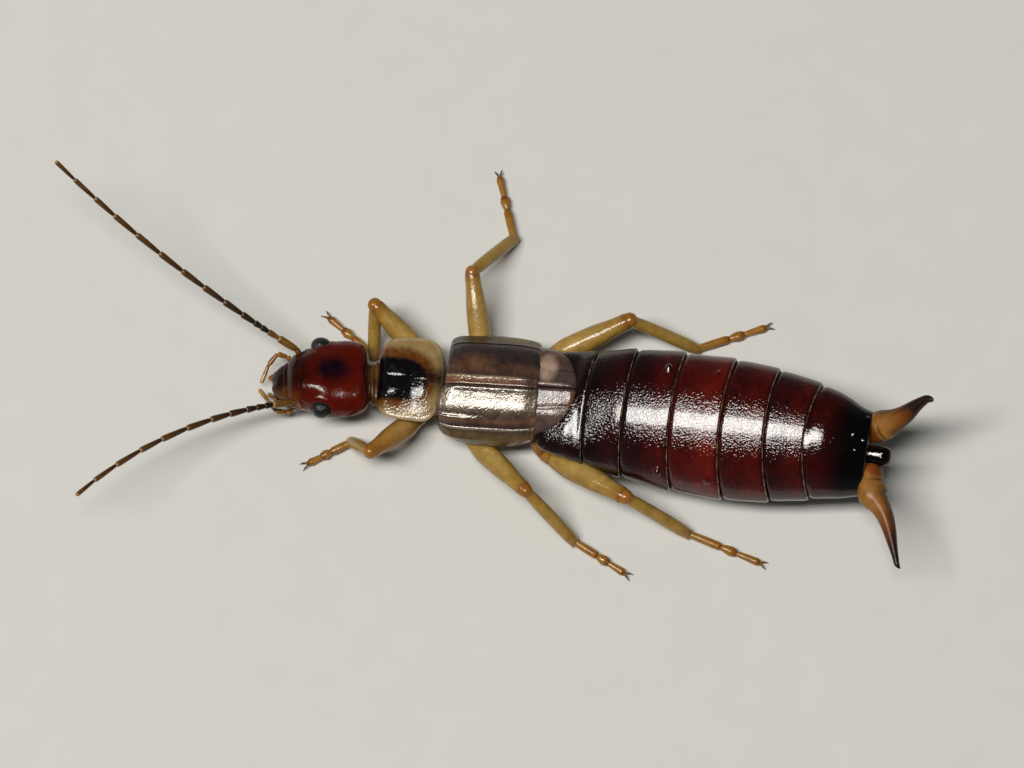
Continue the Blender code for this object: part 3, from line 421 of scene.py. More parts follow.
HEAD_ROUNDNESS = 2.25
EYE = (1.24, 0.90, 0.20)
EYE_RADII = (0.285, 0.245, 0.29)
RIGHT_FEELER_ROOT = (-5.27, 0.55, 1.40)
LEFT_FEELER_ROOT = (-5.31, -0.84, 1.34)


def within(place, points):
    """Distances of world points along, across and up from a body piece's origin."""
    origin, ways = axes_of(place)
    return (np.asarray(points, float) - origin) @ ways.T


def head_capsule():
    """The skull. Its sections are superellipses between a nape and a blunt front.

    A lift in millimetres moves each point out along its radius: temples, brow and the feelers'
    collars stand up; the midline seam, its two arms, the seam before the upper lip and the
    sockets sink in. The nape's middle is drawn forwards, so that the rear margin is hollow.
    """
    s = np.concatenate((eased(16, -0.06, 0.12)[:-1], np.linspace(0.12, 2.04, 136), eased(18, 2.04, 2.17)[1:]))[:, None]
    half_width, rise, drop = np.moveaxis(smooth(CAPSULE, s[:, 0]), -1, 0)[..., None]
    wide, high = oval(turns(240), half_width, rise, drop, HEAD_ROUNDNESS, HEAD_ROUNDNESS)
    s, aside = np.broadcast_to(s, wide.shape), np.abs(wide)
    upper = ramp(-0.05, 0.22, high)
    stem = hill(wide, 0.0, 0.022) * ramp(0.02, 0.12, s) * (1.0 - ramp(0.84, 0.92, s))
    arm = hill(aside - 0.72 * (s - 0.86), 0.0, 0.026) * ramp(0.84, 0.92, s) * (1.0 - ramp(1.30, 1.50, s))
    temple = hill(s, 0.42, 0.34) * hill(aside, 0.55, 0.32)
    brow = hill(s, 1.42, 0.16) * hill(aside, 0.36, 0.16)
    dimple = hill(s, 1.20, 0.18) * hill(aside, 0.22, 0.12)
    lip_seam = hill(s - 1.78 + 0.10 * (wide / 0.6) ** 2, 0.0, 0.020) * (aside < 0.62)
    swell = hill(s, 1.95, 0.10) * hill(wide, 0.0, 0.34)
    gular = hill(s, 1.2, 0.5) * hill(wide, 0.0, 0.30) * (high < -0.1)
    lift = upper * (0.024 * temple + 0.014 * brow - 0.012 * dimple + 0.012 * swell
                    - 0.0035 * stem - 0.0025 * arm - 0.006 * lip_seam) + 0.02 * gular
    cheek = hill(s, 0.75, 0.30) * hill(high, -0.05, 0.10)
    lift = lift + 0.012 * cheek
    for root in (RIGHT_FEELER_ROOT, LEFT_FEELER_ROOT):
        place = within(HEAD, root)
        away = np.sqrt((s + place[0]) ** 2 + (wide - place[1]) ** 2 + (high - place[2]) ** 2)
        lift = lift + 0.035 * hill(away, 0.20, 0.05) - 0.06 * hill(away, 0.04, 0.10)
    for side in (1.0, -1.0):
        away = np.sqrt(((s - EYE[0]) / 0.33) ** 2 + ((high - EYE[2]) / 0.36) ** 2 + ((wide - side * EYE[1]) / 0.35) ** 2)
        lift = lift + 0.018 * hill(away, 1.02, 0.14)
    size = np.maximum(np.hypot(wide, high), 0.12)
    wide, high = wide * (1.0 + lift / size), high * (1.0 + lift / size)
    nape = 0.07 * hill(wide, 0.0, 0.34) * (1.0 - ramp(0.0, 0.50, s))
    points = put(HEAD, -(s + nape), wide, high)
    patch = np.clip(1.35 * hill(s, 0.84, 0.46) * hill(wide, 0.08, 0.33) * upper, 0.0, 0.95)
    front = ramp(1.15, 1.75, s) * (0.92 - 0.60 * ramp(0.15, 0.58, -wide))
    rear = 0.35 * (1.0 - ramp(0.0, 0.16, s))
    below = 0.6 * ramp(0.1, 0.4, -high)
    seams = 0.35 * np.clip(stem + 0.6 * arm, 0.0, 1.0) * upper
    orange = 0.55 * ramp(1.65, 2.00, s) * ramp(0.30, 0.65, -wide) * ramp(-0.25, 0.0, high)
    dark = np.clip(np.maximum.reduce((patch, rear, below, seams)), 0.0, 1.0)
    surface("head_capsule", [points], HEAD_RED, ("head",), {
        "umber": [front], "dark": [dark], "orange": [orange]})


def eyes():
    """Each eye is an ovoid, flatter above: up = 0.29 sin(v) below and 0.27 |sin(v)|^0.9 above its middle."""
    for side, letter in ((1.0, "R"), (-1.0, "L")):
        v = np.linspace(-0.5, 0.5, 72)[1:-1, None] * math.pi
        turn = turns(128)
        high = np.where(v > 0.0, 0.27 * np.abs(np.sin(v)) ** 0.9, -0.29 * np.abs(np.sin(v)))
        along = EYE_RADII[0] * np.cos(v) * np.cos(turn)
        wide = EYE_RADII[1] * np.cos(v) * np.sin(turn)
        along = along * (1.0 + 0.10 * along / EYE_RADII[0])
        points = put(HEAD, along - EYE[0], wide + side * EYE[1], high + EYE[2])
        # Painted highlight: the top of each eye is laid with the lighter grey as a glint.
        glint = np.broadcast_to(ramp(0.3, 1.0, np.sin(v)), points.shape[:2])
        surface(f"eye_facets_{letter}", [points], EYE_BLACK, (f"eye_{letter}",), {"dark": [glint]})


LIP = (
    (2.18, 0.25, 0.20, 0.03),
    (2.20, 0.500, 0.355, 0.04),
    (2.25, 0.515, 0.352, 0.04),
    (2.33, 0.480, 0.325, 0.05),
    (2.42, 0.415, 0.275, 0.05),
    (2.50, 0.345, 0.210, 0.05),
    (2.57, 0.265, 0.135, 0.05),
    (2.615, 0.170, 0.065, 0.04),
    (2.63, 0.040, 0.020, 0.02),
)
FACE = (
    (2.02, 0.30, 0.20, 0.10),
    (2.06, 0.610, 0.415, 0.12),
    (2.12, 0.590, 0.412, 0.12),
    (2.19, 0.555, 0.395, 0.10),
    (2.24, 0.515, 0.360, 0.08),
    (2.26, 0.25, 0.15, 0.05),
)
LIP_SIDEWAYS = 0.0


def upper_lip():
    """The pale plate between skull and lip, and the lip: flattened sections that shrink to a round front.

    The lip's front is notched by 0.03 mm at the middle and it has a shallow dent on each side.
    """
    for name, table, finish, slot, nodes in (
            ("face_plate", FACE, MOUTH_BROWN, "mouthparts", ()),
            ("upper_lip", LIP, MOUTH_BROWN, "mouthparts", ("labrum",))):
        s = eased(64, table[0][0], table[-1][0])[:, None]
        half_width, rise, drop = np.moveaxis(smooth(table, s[:, 0]), -1, 0)[..., None]
        wide, high = oval(turns(128), half_width, rise, drop, 2.3, 2.2)
        s = np.broadcast_to(s, wide.shape)
        dent = 0.020 * hill(np.abs(wide), 0.22, 0.09) * hill(s, 2.36, 0.12) * (high > 0.0)
        notch = 0.035 * hill(wide, 0.0, 0.08) * ramp(2.40, 2.60, s)
        points = put(HEAD, -(s - notch), wide + LIP_SIDEWAYS, high - dent)
        left = ramp(0.12, 0.42, -wide)
        if name == "upper_lip":
            marks = {"dark": [0.85 - 0.6 * left + 0.3 * hill(s, 2.20, 0.02)], "orange": [0.42 * left]}
        else:
            marks = {"dark": [0.80 - 0.55 * left], "orange": [0.40 * left]}
        surface(name, [points], finish, nodes, marks)


JAW = (
    (0.00, 1.96, 0.46, 0.170, 0.16),
    (0.25, 2.16, 0.470, 0.160, 0.15),
    (0.50, 2.33, 0.390, 0.140, 0.12),
    (0.75, 2.47, 0.275, 0.110, 0.09),
    (0.92, 2.56, 0.160, 0.070, 0.06),
    (1.00, 2.59, 0.090, 0.020, 0.02),
)


def jaws():
    """Two jaws that curve in under the lip: ovals square to a curved path, with three teeth inside.

    A tooth is a bell on the inner side, 0.05 mm high. The jaws' bases are hidden in the skull.
    """
    for side, letter in ((1.0, "R"), (-1.0, "L")):
        share = np.linspace(0.0, 1.0, 70)
        forward, aside, half_width, half_height = smooth(JAW, share).T
        path = put(HEAD, -forward, side * aside + LIP_SIDEWAYS, np.full_like(forward, -0.20))
        points, turn = sweep(path, half_width, half_height, 56, power=2.3)
        teeth = sum(hill(share, place, 0.035) for place in (0.62, 0.76, 0.90))[:, None]
        inner = np.maximum(0.0, side * np.cos(turn)) ** 4
        across = put(HEAD, 0.0, -side, 0.0) - put(HEAD, 0.0, 0.0, 0.0)
        points = points + (0.05 * teeth * inner)[..., None] * across
        dark = np.clip(ramp(0.45, 0.95, share)[:, None] + 0.5 * inner, 0.0, 1.0)
        orange = (0.9 if side < 0.0 else 0.4) * (1.0 - ramp(0.3, 0.8, share))[:, None] * np.ones_like(turn)
        surface(f"jaw_{letter}", [points], MOUTH_BROWN, (f"mandible_{letter}",),
                {"dark": [dark], "orange": [orange]})


def through(points, count):
    """Smooth path at even shares through a few points, each coordinate a cubic that never passes beyond them."""
    points = np.asarray(points, float)
    gone = np.concatenate(([0.0], np.cumsum(np.linalg.norm(np.diff(points, axis=0), axis=1))))
    return smooth(np.column_stack((gone / gone[-1], points)), np.linspace(0.0, 1.0, count))


BEAD = ((0.0, 0.50), (0.05, 0.72), (0.20, 0.86), (0.55, 0.97), (0.82, 1.0), (0.94, 0.92), (1.0, 0.55))


def beads(joints, radii, count=20, rows=16, shape=BEAD, flat=1.0):
    """One closed grid for each joint between neighbouring ends: its radius x the bead's shape along it."""
    share = eased(rows)
    profile = smooth(shape, share)[:, 0]
    grids = []
    for start, end, radius in zip(joints, joints[1:], radii):
        points, _ = sweep(straight(start, end, share), profile * radius, profile * radius * flat, count)
        grids.append(points)
    return grids, share


PALP_RIGHT = ((-5.20, 0.30, 0.66), (-5.46, 0.44, 0.72), (-5.60, 0.55, 0.76), (-5.86, 0.62, 0.82),
              (-6.10, 0.34, 0.74), (-6.30, -0.14, 0.60))
PALP_LEFT = ((-5.20, -0.62, 0.62), (-5.44, -0.88, 0.66), (-5.60, -0.98, 0.70), (-5.88, -0.94, 0.72),
             (-6.08, -0.68, 0.66), (-6.35, -0.31, 0.60))
LIP_PALP_RIGHT = ((-5.62, 0.16, 0.42), (-5.80, 0.22, 0.40), (-5.96, 0.14, 0.44), (-6.10, 0.00, 0.46))
LIP_PALP_LEFT = ((-5.62, -0.46, 0.42), (-5.80, -0.54, 0.40), (-5.96, -0.50, 0.44), (-6.12, -0.40, 0.46))
PALP_BEAD = ((0.0, 0.55), (0.06, 0.72), (0.30, 0.86), (0.70, 1.0), (0.90, 1.0), (1.0, 0.60))


def palps():
    """The jaw palps of five joints and, below them, the lip palps of three, each joint a club."""
    for letter, joints in (("R", PALP_RIGHT), ("L", PALP_LEFT)):
        grids, share = beads(joints, (0.075, 0.075, 0.074, 0.070, 0.060), 28, 24, PALP_BEAD)
        ends = [0.75 * hill(share, 0.0, 0.14)[:, None] + 0.3 * hill(share, 1.0, 0.08)[:, None] for _ in grids]
        pale = [0.8 * hill(share, 0.96, 0.06)[:, None] for _ in grids]
        pale[-1] = ramp(0.35, 0.8, share)[:, None]
        surface(f"jaw_palp_{letter}", grids, PALP_AMBER, (f"maxillary_palp_{letter}",),
                {"dark": ends, "pale": pale})
    for letter, joints in (("R", LIP_PALP_RIGHT), ("L", LIP_PALP_LEFT)):
        grids, share = beads(joints, (0.075, 0.07, 0.06), 24, 18, PALP_BEAD)
        surface(f"lip_palp_{letter}", grids, PALP_AMBER, (), {
            "dark": [0.5 * hill(share, 0.0, 0.2)[:, None] for _ in grids],
            "pale": [0.3 * ramp(0.4, 1.0, share)[:, None] for _ in grids]})


FEELER_RIGHT_JOINTS = (0.65, 0.32, 0.22, 0.22, 0.42, 0.59, 0.68, 0.72, 0.77, 0.80, 0.79, 0.69, 0.75, 0.69)
FEELER_LEFT_JOINTS = (0.65, 0.22, 0.24, 0.28, 0.48, 0.54, 0.71, 0.77, 0.68, 0.80, 0.77, 0.67)
FEELER_BEAD = ((0.0, 0.50), (0.04, 0.68), (0.18, 0.78), (0.60, 0.95), (0.86, 1.0), (0.96, 0.90), (1.0, 0.55))
SCAPE_BEAD = ((0.0, 0.45), (0.08, 0.60), (0.22, 0.84), (0.55, 1.0), (0.90, 1.02), (1.0, 0.70))


def feelers():
    """Each feeler is a row of clubs: a thick first joint, short second ones, then ever thinner long ones.

    From joint to joint the bearing and the climb change evenly from root to tip.
    """
    for letter, root, lengths, turned, climbs in (
            ("R", RIGHT_FEELER_ROOT, FEELER_RIGHT_JOINTS, (151.0, 139.2), (15.0, 24.0)),
            ("L", LEFT_FEELER_ROOT, FEELER_LEFT_JOINTS, (188.4, 227.1), (8.0, 20.0))):
        lengths = np.array(lengths)
        middle = (np.cumsum(lengths) - lengths / 2.0) / lengths.sum()
        ways = bearing(turned[0] + (turned[1] - turned[0]) * middle, climbs[0] + (climbs[1] - climbs[0]) * middle)
        joints = np.array(root) + np.vstack((np.zeros(3), np.cumsum(ways * lengths[:, None], axis=0)))
        number = np.arange(len(lengths)) / (len(lengths) - 1.0)
        radii = smooth(((0.0, 0.092), (0.12, 0.086), (0.30, 0.092), (0.62, 0.086), (0.85, 0.076), (1.0, 0.062)), number)[:, 0]
        sunk = put(HEAD, -1.72, (0.50 if letter == "R" else -0.50), 0.18)
        stub = sweep(straight(sunk, joints[0] + 0.06 * ways[0], np.linspace(0.0, 1.0, 12)),
                     np.full(12, 0.078), np.full(12, 0.078), 36)[0]
        scape, along = beads(joints[:2], (0.104,), 36, 40, SCAPE_BEAD)
        rest, share = beads(joints[1:], radii[1:], 28, 30, FEELER_BEAD)
        count = len(rest)
        outward = np.arange(count) / (count - 1.0)
        dark = [np.clip(1.0 - 1.6 * place, 0.0, 1.0) + 0.35 * hill(share, 0.0, 0.12)[:, None] for place in outward]
        orange = [(0.10 + 0.35 * place) * ramp(0.1, 0.9, share)[:, None] for place in outward]
        if letter == "R":
            dark[0], orange[0] = 0.3 * ramp(0.2, 0.9, share)[:, None], 0.85
        # Painted highlight: the pale band at the end of each joint stands for the glints there.
        pale = [(0.35 + 0.4 * place) * hill(share, 0.985, 0.05)[:, None] for place in outward]
        shade = 0.10 if letter == "R" else 0.30
        scape_marks = (shade + 0.15 * hill(along, 0.0, 0.2)[:, None], np.full((40, 1), 0.92),
                       0.7 * hill(along, 0.97, 0.05)[:, None])
        surface(f"feeler_{letter}", [stub] + scape + rest, FEELER_BROWN,
                [f"antenna_{letter}_{part}" for part in ("scape", "flagellum_1", "flagellum_2", "flagellum_3")],
                {"orange": [0.7, scape_marks[1]] + orange, "dark": [0.35, scape_marks[0]] + dark,
                 "pale": [0.0, scape_marks[2]] + pale})


# The neck, the shield and the body under it.

def hull(name, place, table, powers, finish, nodes, ridges=0.0, ridge_length=0.2, count=120, rows=90):
    """Sections along a body piece's axis, ringed by ridges as ridges x cos(2 pi along / ridge length)."""
    table = ((table[0][0] - 0.04, *(0.35 * value for value in table[0][1:])), *table,
             (table[-1][0] + 0.04, *(0.35 * value for value in table[-1][1:])))
    along = eased(rows, table[0][0], table[-1][0])[:, None]
    half_width, rise, drop = np.moveaxis(smooth(table, along[:, 0]), -1, 0)[..., None]
    wave = 1.0 + ridges * np.cos(2.0 * math.pi * along / ridge_length)
    wide, high = oval(turns(count), half_width * wave, rise * wave, drop * wave, *powers)
    # Painted shade: fold darkens the troughs between the ridges.
    fold = np.clip(-ridges * 40.0 * np.cos(2.0 * math.pi * along / ridge_length), 0.0, 1.0) * np.ones_like(wide)
    pale = 0.5 * ramp(0.0, 0.3, -high) + 0.3 * hill(np.abs(wide), 0.5 * half_width, 0.2)
    surface(name, [put(place, along, wide, high)], finish, nodes, {"dark": [fold], "pale": [pale]})


def neck():
    """A soft ringed neck between skull and shield."""
    hull("neck_rings", NECK, ((-0.22, 0.44, 0.26, 0.20), (0.00, 0.56, 0.30, 0.22), (0.14, 0.61, 0.24, 0.24),
                              (0.45, 0.63, 0.14, 0.26)), (2.3, 2.2), NECK_BROWN, ("neck",), 0.035, 0.13)


SHIELD_HALF_LENGTH = 0.885
SHIELD_HALF_WIDTH = 1.14
SHIELD_ARCH = ((0.0, 0.295), (0.2, 0.287), (0.4, 0.258), (0.6, 0.212), (0.8, 0.166), (0.95, 0.132), (1.0, 0.118))


def shield():
    """The shield: in plan a squarish oval whose rear corners are rounder than its front ones.

    Towards a direction, the edge lies at (|cos / a|^n + |sin / b|^n)^(-1/n). Over it stands the arch of
    a table x (1 - |along / a|^8), on a plate 0.06 mm thick, with a swelling in front, one behind, a
    furrow down the middle and a thin rim turned up by 0.03 mm.
    """
    turn = turns(320)
    forward, aside = np.cos(turn), np.sin(turn)
    power = 4.0 - 1.1 * ramp(-0.2, 0.8, forward)
    edge = (np.abs(forward / SHIELD_HALF_LENGTH) ** power + np.abs(aside / SHIELD_HALF_WIDTH) ** power) ** (-1.0 / power)
    top = np.linspace(0.01, 1.0, 100)
    under = np.array((1.004, 0.998, 0.98, 0.94, 0.86, 0.72, 0.50, 0.25, 0.05))
    share = np.concatenate((top, under))[:, None]
    along, wide = share * edge * forward, share * edge * aside
    wide = wide * (1.0 + 0.05 * along)
    crosswise = np.minimum(np.abs(wide) / SHIELD_HALF_WIDTH, 1.0)
    lengthwise = np.minimum(np.abs(along) / SHIELD_HALF_LENGTH, 1.0)
    dome = smooth(SHIELD_ARCH, crosswise)[..., 0] * (1.0 - lengthwise ** 8) + 0.06 * (1.0 - np.minimum(share, 1.0) ** 24)
    hump = 0.022 * hill(along, -0.46, 0.22) * hill(wide, 0.36, 0.26)
    hump = hump + 0.085 * hill(along, -0.44, 0.30) * hill(wide, -0.42, 0.30)
    hump = hump + 0.045 * hill(along, 0.34, 0.20) * hill(wide, 0.0, 0.55)
    furrow = 0.020 * hill(along, -0.45, 0.35) * hill(wide, 0.0, 0.05)
    step = -0.020 * hill(along - 0.10 * (wide / 0.7) ** 2, -0.14, 0.12) * hill(wide, 0.0, 0.62)
    keel = 0.006 * hill(wide, 0.0, 0.03) * ramp(0.1, 0.3, along)
    rim = 0.024 * hill(share, 0.985, 0.045) * ramp(-0.80, -0.45, along)
    height = dome + (hump - furrow - step + keel) * (1.0 - ramp(0.80, 1.0, share)) + rim
    edge_height = height[len(top) - 1]
    depth = np.concatenate((np.zeros(len(top)), (0.03, 0.06, 0.08, 0.09, 0.10, 0.10, 0.10, 0.10, 0.10)))[:, None]
    floor_height = (edge_height + 0.02) * ramp(0.40, 1.0, share) - depth
    high = np.where(np.arange(len(share))[:, None] < len(top), height, floor_height)
    points = put(SHIELD, along, wide, high)
    past = np.maximum(along + 0.25, 0.0)
    disc = (past / 0.80) ** 2 + ((wide + 0.06) / 0.63) ** 2
    ring = (past / 1.02) ** 2 + ((wide + 0.03) / 0.90) ** 2
    upper = (np.arange(len(share)) < len(top))[:, None]
    dark = (1.0 - ramp(0.62, 1.15, disc)) * upper
    brown = np.clip((1.0 - ramp(0.62, 1.15, ring)) * 0.95, 0.0, 1.0) * upper
    tail = hill(wide, 0.05, 0.22) * ramp(0.0, 0.4, along) * upper
    dark = np.maximum(dark, 0.85 * tail)
    pale = 0.55 * ramp(0.88, 0.99, share) * ramp(-0.75, -0.45, along)
    surface("shield", [points], SHIELD_STRAW, ("pronotum",), {
        "dark": [dark], "brown": [brown], "pale": [pale]})


def trunk():
    """The undersides that carry the legs, with a plate edge across them at each ridge."""
    hull("front_trunk", PROTHORAX, ((0.00, 0.50, 0.16, 0.12), (0.35, 0.74, 0.20, 0.18), (1.15, 0.80, 0.20, 0.18),
                                    (1.50, 0.72, 0.18, 0.12)), (3.0, 2.4), PALP_AMBER, ("prothorax",),
         0.02, 0.5)
    hull("rear_trunk", THORAX, ((-0.10, 0.60, 0.16, 0.24), (0.30, 0.96, 0.26, 0.30), (1.90, 1.02, 0.26, 0.30),
                                (2.50, 0.92, 0.22, 0.24)), (3.0, 2.6), UNDER_BROWN, ("thorax",),
         0.02, 0.62)


# The wing cases and the folded wing tips behind them.

CASE_LENGTH = 2.50
CASE_HALF_WIDTH = 1.44
CASE_EDGE_HEIGHT = 1.37
CASE_NARROWING = (
    (-0.02, 0.80),
    (0.00, 0.86),
    (0.08, 0.93),
    (0.35, 0.99),
    (1.00, 1.00),
    (1.80, 1.00),
    (2.20, 0.97),
    (2.42, 0.93),
    (2.50, 0.87),
)


# The roof from the seam to the edge: place, across and up.
ROOF = (
    (0.00, 0.00, 0.645),
    (0.04, 0.05, 0.655),
    (0.10, 0.16, 0.638),
    (0.30, 0.48, 0.567),
    (0.44, 0.70, 0.518),
    (0.54, 0.84, 0.462),
    (0.66, 0.98, 0.385),
    (0.76, 1.10, 0.300),
    (0.83, 1.19, 0.225),
    (0.89, 1.27, 0.155),
    (0.94, 1.36, 0.075),
    (1.00, 1.44, 0.000),
)


def wing_cases():
    """Each case slopes evenly from the seam, falls off to a keel at its side, and ends in a hanging flange.

    The flange flares as 0.14 sin(pi along / length). The shell is 0.09 mm thick, and its edges are
    rolled under. The right case laps over the seam by 0.09 mm, with a flat strip beside it.
    """
    along = np.concatenate((np.linspace(-0.02, 0.06, 8)[:-1], np.linspace(0.06, 2.44, 130),
                            np.linspace(2.44, 2.50, 9)[1:]))[:, None]
    narrowing = smooth(CASE_NARROWING, along[:, 0])
    half_width = CASE_HALF_WIDTH * narrowing
    rise = 0.88 + 0.12 * ramp(-0.05, 0.35, along) - 0.07 * ramp(2.1, 2.5, along)
    count = 104
    across, upward = smooth(ROOF, np.linspace(0.0, 1.0, count)).T
    wide = half_width * across / CASE_HALF_WIDTH
    high = CASE_EDGE_HEIGHT + rise * upward
    drop = np.linspace(0.0, 1.0, 22)[1:]
    flare = 0.14 * np.sin(math.pi * np.clip(along / CASE_LENGTH, 0.0, 1.0)) - 0.04
    wide = np.hstack((wide, half_width + flare * drop ** 0.8))
    high = np.hstack((high, CASE_EDGE_HEIGHT - 0.22 * drop * np.ones_like(along)))
    place = np.concatenate((np.linspace(0.0, 1.0, count), 1.0 + drop))[None, :]
    keel = 0.028 * hill(place, 0.835, 0.018)
    high = high + keel - 0.020 * hill(wide, 0.0, 0.03)
    dents = 0.006 * np.sin(4.3 * along + 1.7 * place) * np.cos(3.1 * along - 5.0 * place) * (place < 1.0)
    high = high + dents * ramp(0.05, 0.3, place) * (1.0 - ramp(0.70, 0.9, place))
    end = hill(along, 2.50, 0.030) + 0.8 * hill(along, -0.02, 0.04)
    high = high - 0.035 * np.clip(end, 0.0, 1.0)
    lean = np.clip(place - 0.6, 0.0, 0.4) / 0.4
    inner_wide = np.maximum(wide - 0.07 * lean, 0.0)
    inner_high = high - 0.09 * (1.0 - 0.8 * lean)
    ring_wide = np.hstack((wide, inner_wide[:, ::-1]))
    ring_high = np.hstack((high, inner_high[:, ::-1]))
    places = np.hstack((place, place[:, ::-1])) * np.ones_like(ring_wide)
    arch = np.sin(math.pi * np.clip(ring_wide / CASE_HALF_WIDTH, 0.0, 1.0))
    lengths = along * np.ones_like(ring_wide)
    forward = 1.0 - np.clip(along / CASE_LENGTH, 0.0, 1.0)
    for side, letter in ((1.0, "R"), (-1.0, "L")):
        rear_corner = 0.05 * ramp(0.75, 1.2, places) * ramp(1.9, 2.5, lengths)
        sweep_back = (-0.04 if side > 0.0 else 0.20) * arch * forward
        inner = 1.0 - ramp(0.02, 0.32, ring_wide)
        lap = -0.085 if side > 0.0 else 0.095
        strip = (ring_wide < 0.19) * 1.0
        if side > 0.0:
            raised = 0.008 * hill(ring_wide, 0.20, 0.02) - 0.020 * (1.0 - ramp(0.08, 0.20, ring_wide))
        else:
            raised = 0.055 * hill(places, 0.67, 0.075) * (1.0 - ramp(0.2, 1.7, lengths))
        points = put(WINGS, along - sweep_back - rear_corner, side * (ring_wide + lap * inner), ring_high + raised)
        olive = 0.9 * ramp(0.83, 0.93, places)
        ending = 1.0 - ramp(1.4, 2.4, lengths)
        if side > 0.0:
            copper = 0.9 * strip * (0.35 + 0.65 * ending)
            copper = copper + 0.60 * hill(places, 0.42, 0.15) * hill(lengths, 0.7, 0.5) + 0.30 * hill(places, 0.25, 0.10)
            dark = 0.5 * hill(places, 0.62, 0.16) + 0.3 * hill(places, 0.82, 0.03)
            dark = dark + 0.5 * hill(places, 0.95, 0.12) * (1.0 - ramp(0.6, 1.6, lengths))
            # Painted highlight: a pale line along the raised edge of the seam strip.
            pale = 0.55 * hill(ring_wide, 0.20, 0.018) * ending
            olive = olive * (1.0 - 0.35 * ramp(1.1, 1.5, places)) * (0.35 + 0.65 * ramp(0.5, 1.8, lengths))
        else:
            copper = 0.55 * hill(places, 0.70, 0.08) + 0.8 * hill(lengths, 2.42, 0.16) * hill(places, 0.70, 0.14)
            copper = copper + 0.35 * ramp(1.1, 1.6, places)
            dark = 0.5 * hill(places, 0.76, 0.04) + 0.45 * (1.0 - ramp(0.0, 0.5, lengths)) * ramp(0.60, 0.75, places)
            # Painted highlight: pale over the flat of the left case and along its keel, where it catches the light.
            pale = 0.30 * hill(places, 0.30, 0.22) + 0.35 * hill(places, 0.84, 0.012)
            olive = olive * (0.70 - 0.25 * ramp(1.2, 1.8, places))
        copper = np.clip(copper, 0.0, 1.0) * np.ones_like(ring_wide)
        pale = pale * np.ones_like(ring_wide)
        # Painted shade along the seam where the two cases meet; the rear edge is darker too.
        dark = np.clip(dark + 0.9 * hill(ring_wide, 0.0, 0.03) + 0.7 * hill(lengths, 2.50, 0.03), 0.0, 1.0)
        surface(f"wing_case_{letter}", [points], WING_BRONZE, (f"tegmen_{letter}",),
                {"copper": [copper], "dark": [dark], "olive": [np.clip(olive, 0.0, 1.0)], "pale": [pale]})


def wing_tips():
    """Each packet of folded wing is a quarter oval in plan, sloped as the roof is, with a fold line along it.

    The reach across is 1.19 sqrt(1 - share^2), and it begins under the wing case.
    """
    share = np.concatenate((np.linspace(-0.20, 0.0, 12)[:-1], np.sin(np.linspace(0.0, 0.497 * math.pi, 90))))[:, None]
    along = CASE_LENGTH + 0.06 + 0.97 * share
    reach = 1.19 * np.sqrt(1.0 - np.maximum(share, 0.0) ** 2)
    part = np.linspace(0.0, 1.0, 90)[None, :]
    wide = 0.014 + reach * part
    slope = np.array([(across, place, upward) for place, across, upward in ROOF])
    arch = smooth(slope, wide)[..., 1]
    high = CASE_EDGE_HEIGHT - 0.045 + 0.93 * arch - 0.05 * (np.maximum(share, 0.0) + part ** 4)
    high = high - 0.07 * ramp(0.88, 1.0, part) ** 2 - 0.05 * ramp(0.80, 1.0, share) - 0.04 * hill(wide, 0.0, 0.05)
    fold = 0.010 * hill(wide - 0.56 + 0.10 * share, 0.0, 0.05)
    bulge = 0.020 * hill(share, 0.42, 0.30) * hill(wide, 0.85, 0.24)
    high = high - fold + bulge
    under = high - 0.16 * (1.0 - 0.75 * part ** 6)
    ring_wide = np.hstack((wide, wide[:, ::-1]))
    ring_high = np.hstack((high, under[:, ::-1]))
    shares = share * np.ones_like(ring_wide)
    for side, letter in ((1.0, "R"), (-1.0, "L")):
        points = put(WINGS, along, side * ring_wide, ring_high)
        edge = ramp(0.80, 0.98, (ring_wide / 1.2) ** 2 + np.maximum(shares, 0.0) ** 2)
        # Painted highlight: line is a pale band along the right packet's inner rolled edge.
        line = hill(ring_wide, 0.09, 0.030) * (1.0 - ramp(0.55, 0.75, shares))
        if side > 0.0:
            spot = 1.0 - ramp(0.15, 1.35, ((shares - 0.14) / 0.30) ** 2 + ((ring_wide - 0.56) / 0.44) ** 2)
            copper = 0.35 * hill(ring_wide, 0.95, 0.2)
            pale = np.clip(0.9 * spot + 0.9 * line, 0.0, 1.0)
        else:
            copper = np.clip(0.9 * hill(shares, 0.78, 0.14) * hill(ring_wide, 0.33, 0.20) + 0.3 * edge, 0.0, 1.0)
            # Painted highlight: the pale patch on the left packet stands for its sheen.
            pale = np.clip(0.35 * hill(shares, 0.35, 0.3) * hill(ring_wide, 0.5, 0.35), 0.0, 1.0)
        # Darker towards the rim; painted shade along the inner edge where the two packets meet and in the fold line.
        dark = np.clip(0.75 * edge + 0.9 * hill(ring_wide, 0.0, 0.022) + 0.5 * hill(ring_wide - 0.56 + 0.10 * shares, 0.0, 0.03),
                       0.0, 1.0)
        surface(f"wing_packet_{letter}", [points], WING_TIP_BRONZE, (f"wing_tip_{letter}",),
                {"copper": [copper], "dark": [dark], "pale": [pale]})


# The abdomen: seven rings, each over the front of the next, and the knob between the pincers.

GIRTH = (
    (-0.50, 1.10, 0.22, 0.50),
    (-0.40, 1.28, 0.30, 0.56),
    (-0.10, 1.42, 0.40, 0.66),
    (0.40, 1.50, 0.53, 0.72),
    (0.80, 1.56, 0.63, 0.78),
    (1.30, 1.65, 0.725, 0.86),
    (1.82, 1.745, 0.815, 0.92),
    (3.09, 1.86, 0.95, 1.00),
    (4.44, 1.885, 0.99, 1.02),
    (5.69, 1.760, 0.95, 0.98),
    (6.75, 1.545, 0.865, 0.88),
    (7.15, 1.455, 0.828, 0.83),
    (7.55, 1.352, 0.738, 0.78),
    (8.05, 1.185, 0.610, 0.72),
    (8.38, 1.11, 0.525, 0.65),
)
ROLL = 13.0
RING_ENDS = (-0.46, 0.72, 1.80, 3.09, 4.44, 5.63, 6.70, 8.38)
RING_NAMES = ("t2", "t3", "t4", "t5", "t6", "t7", "t10")
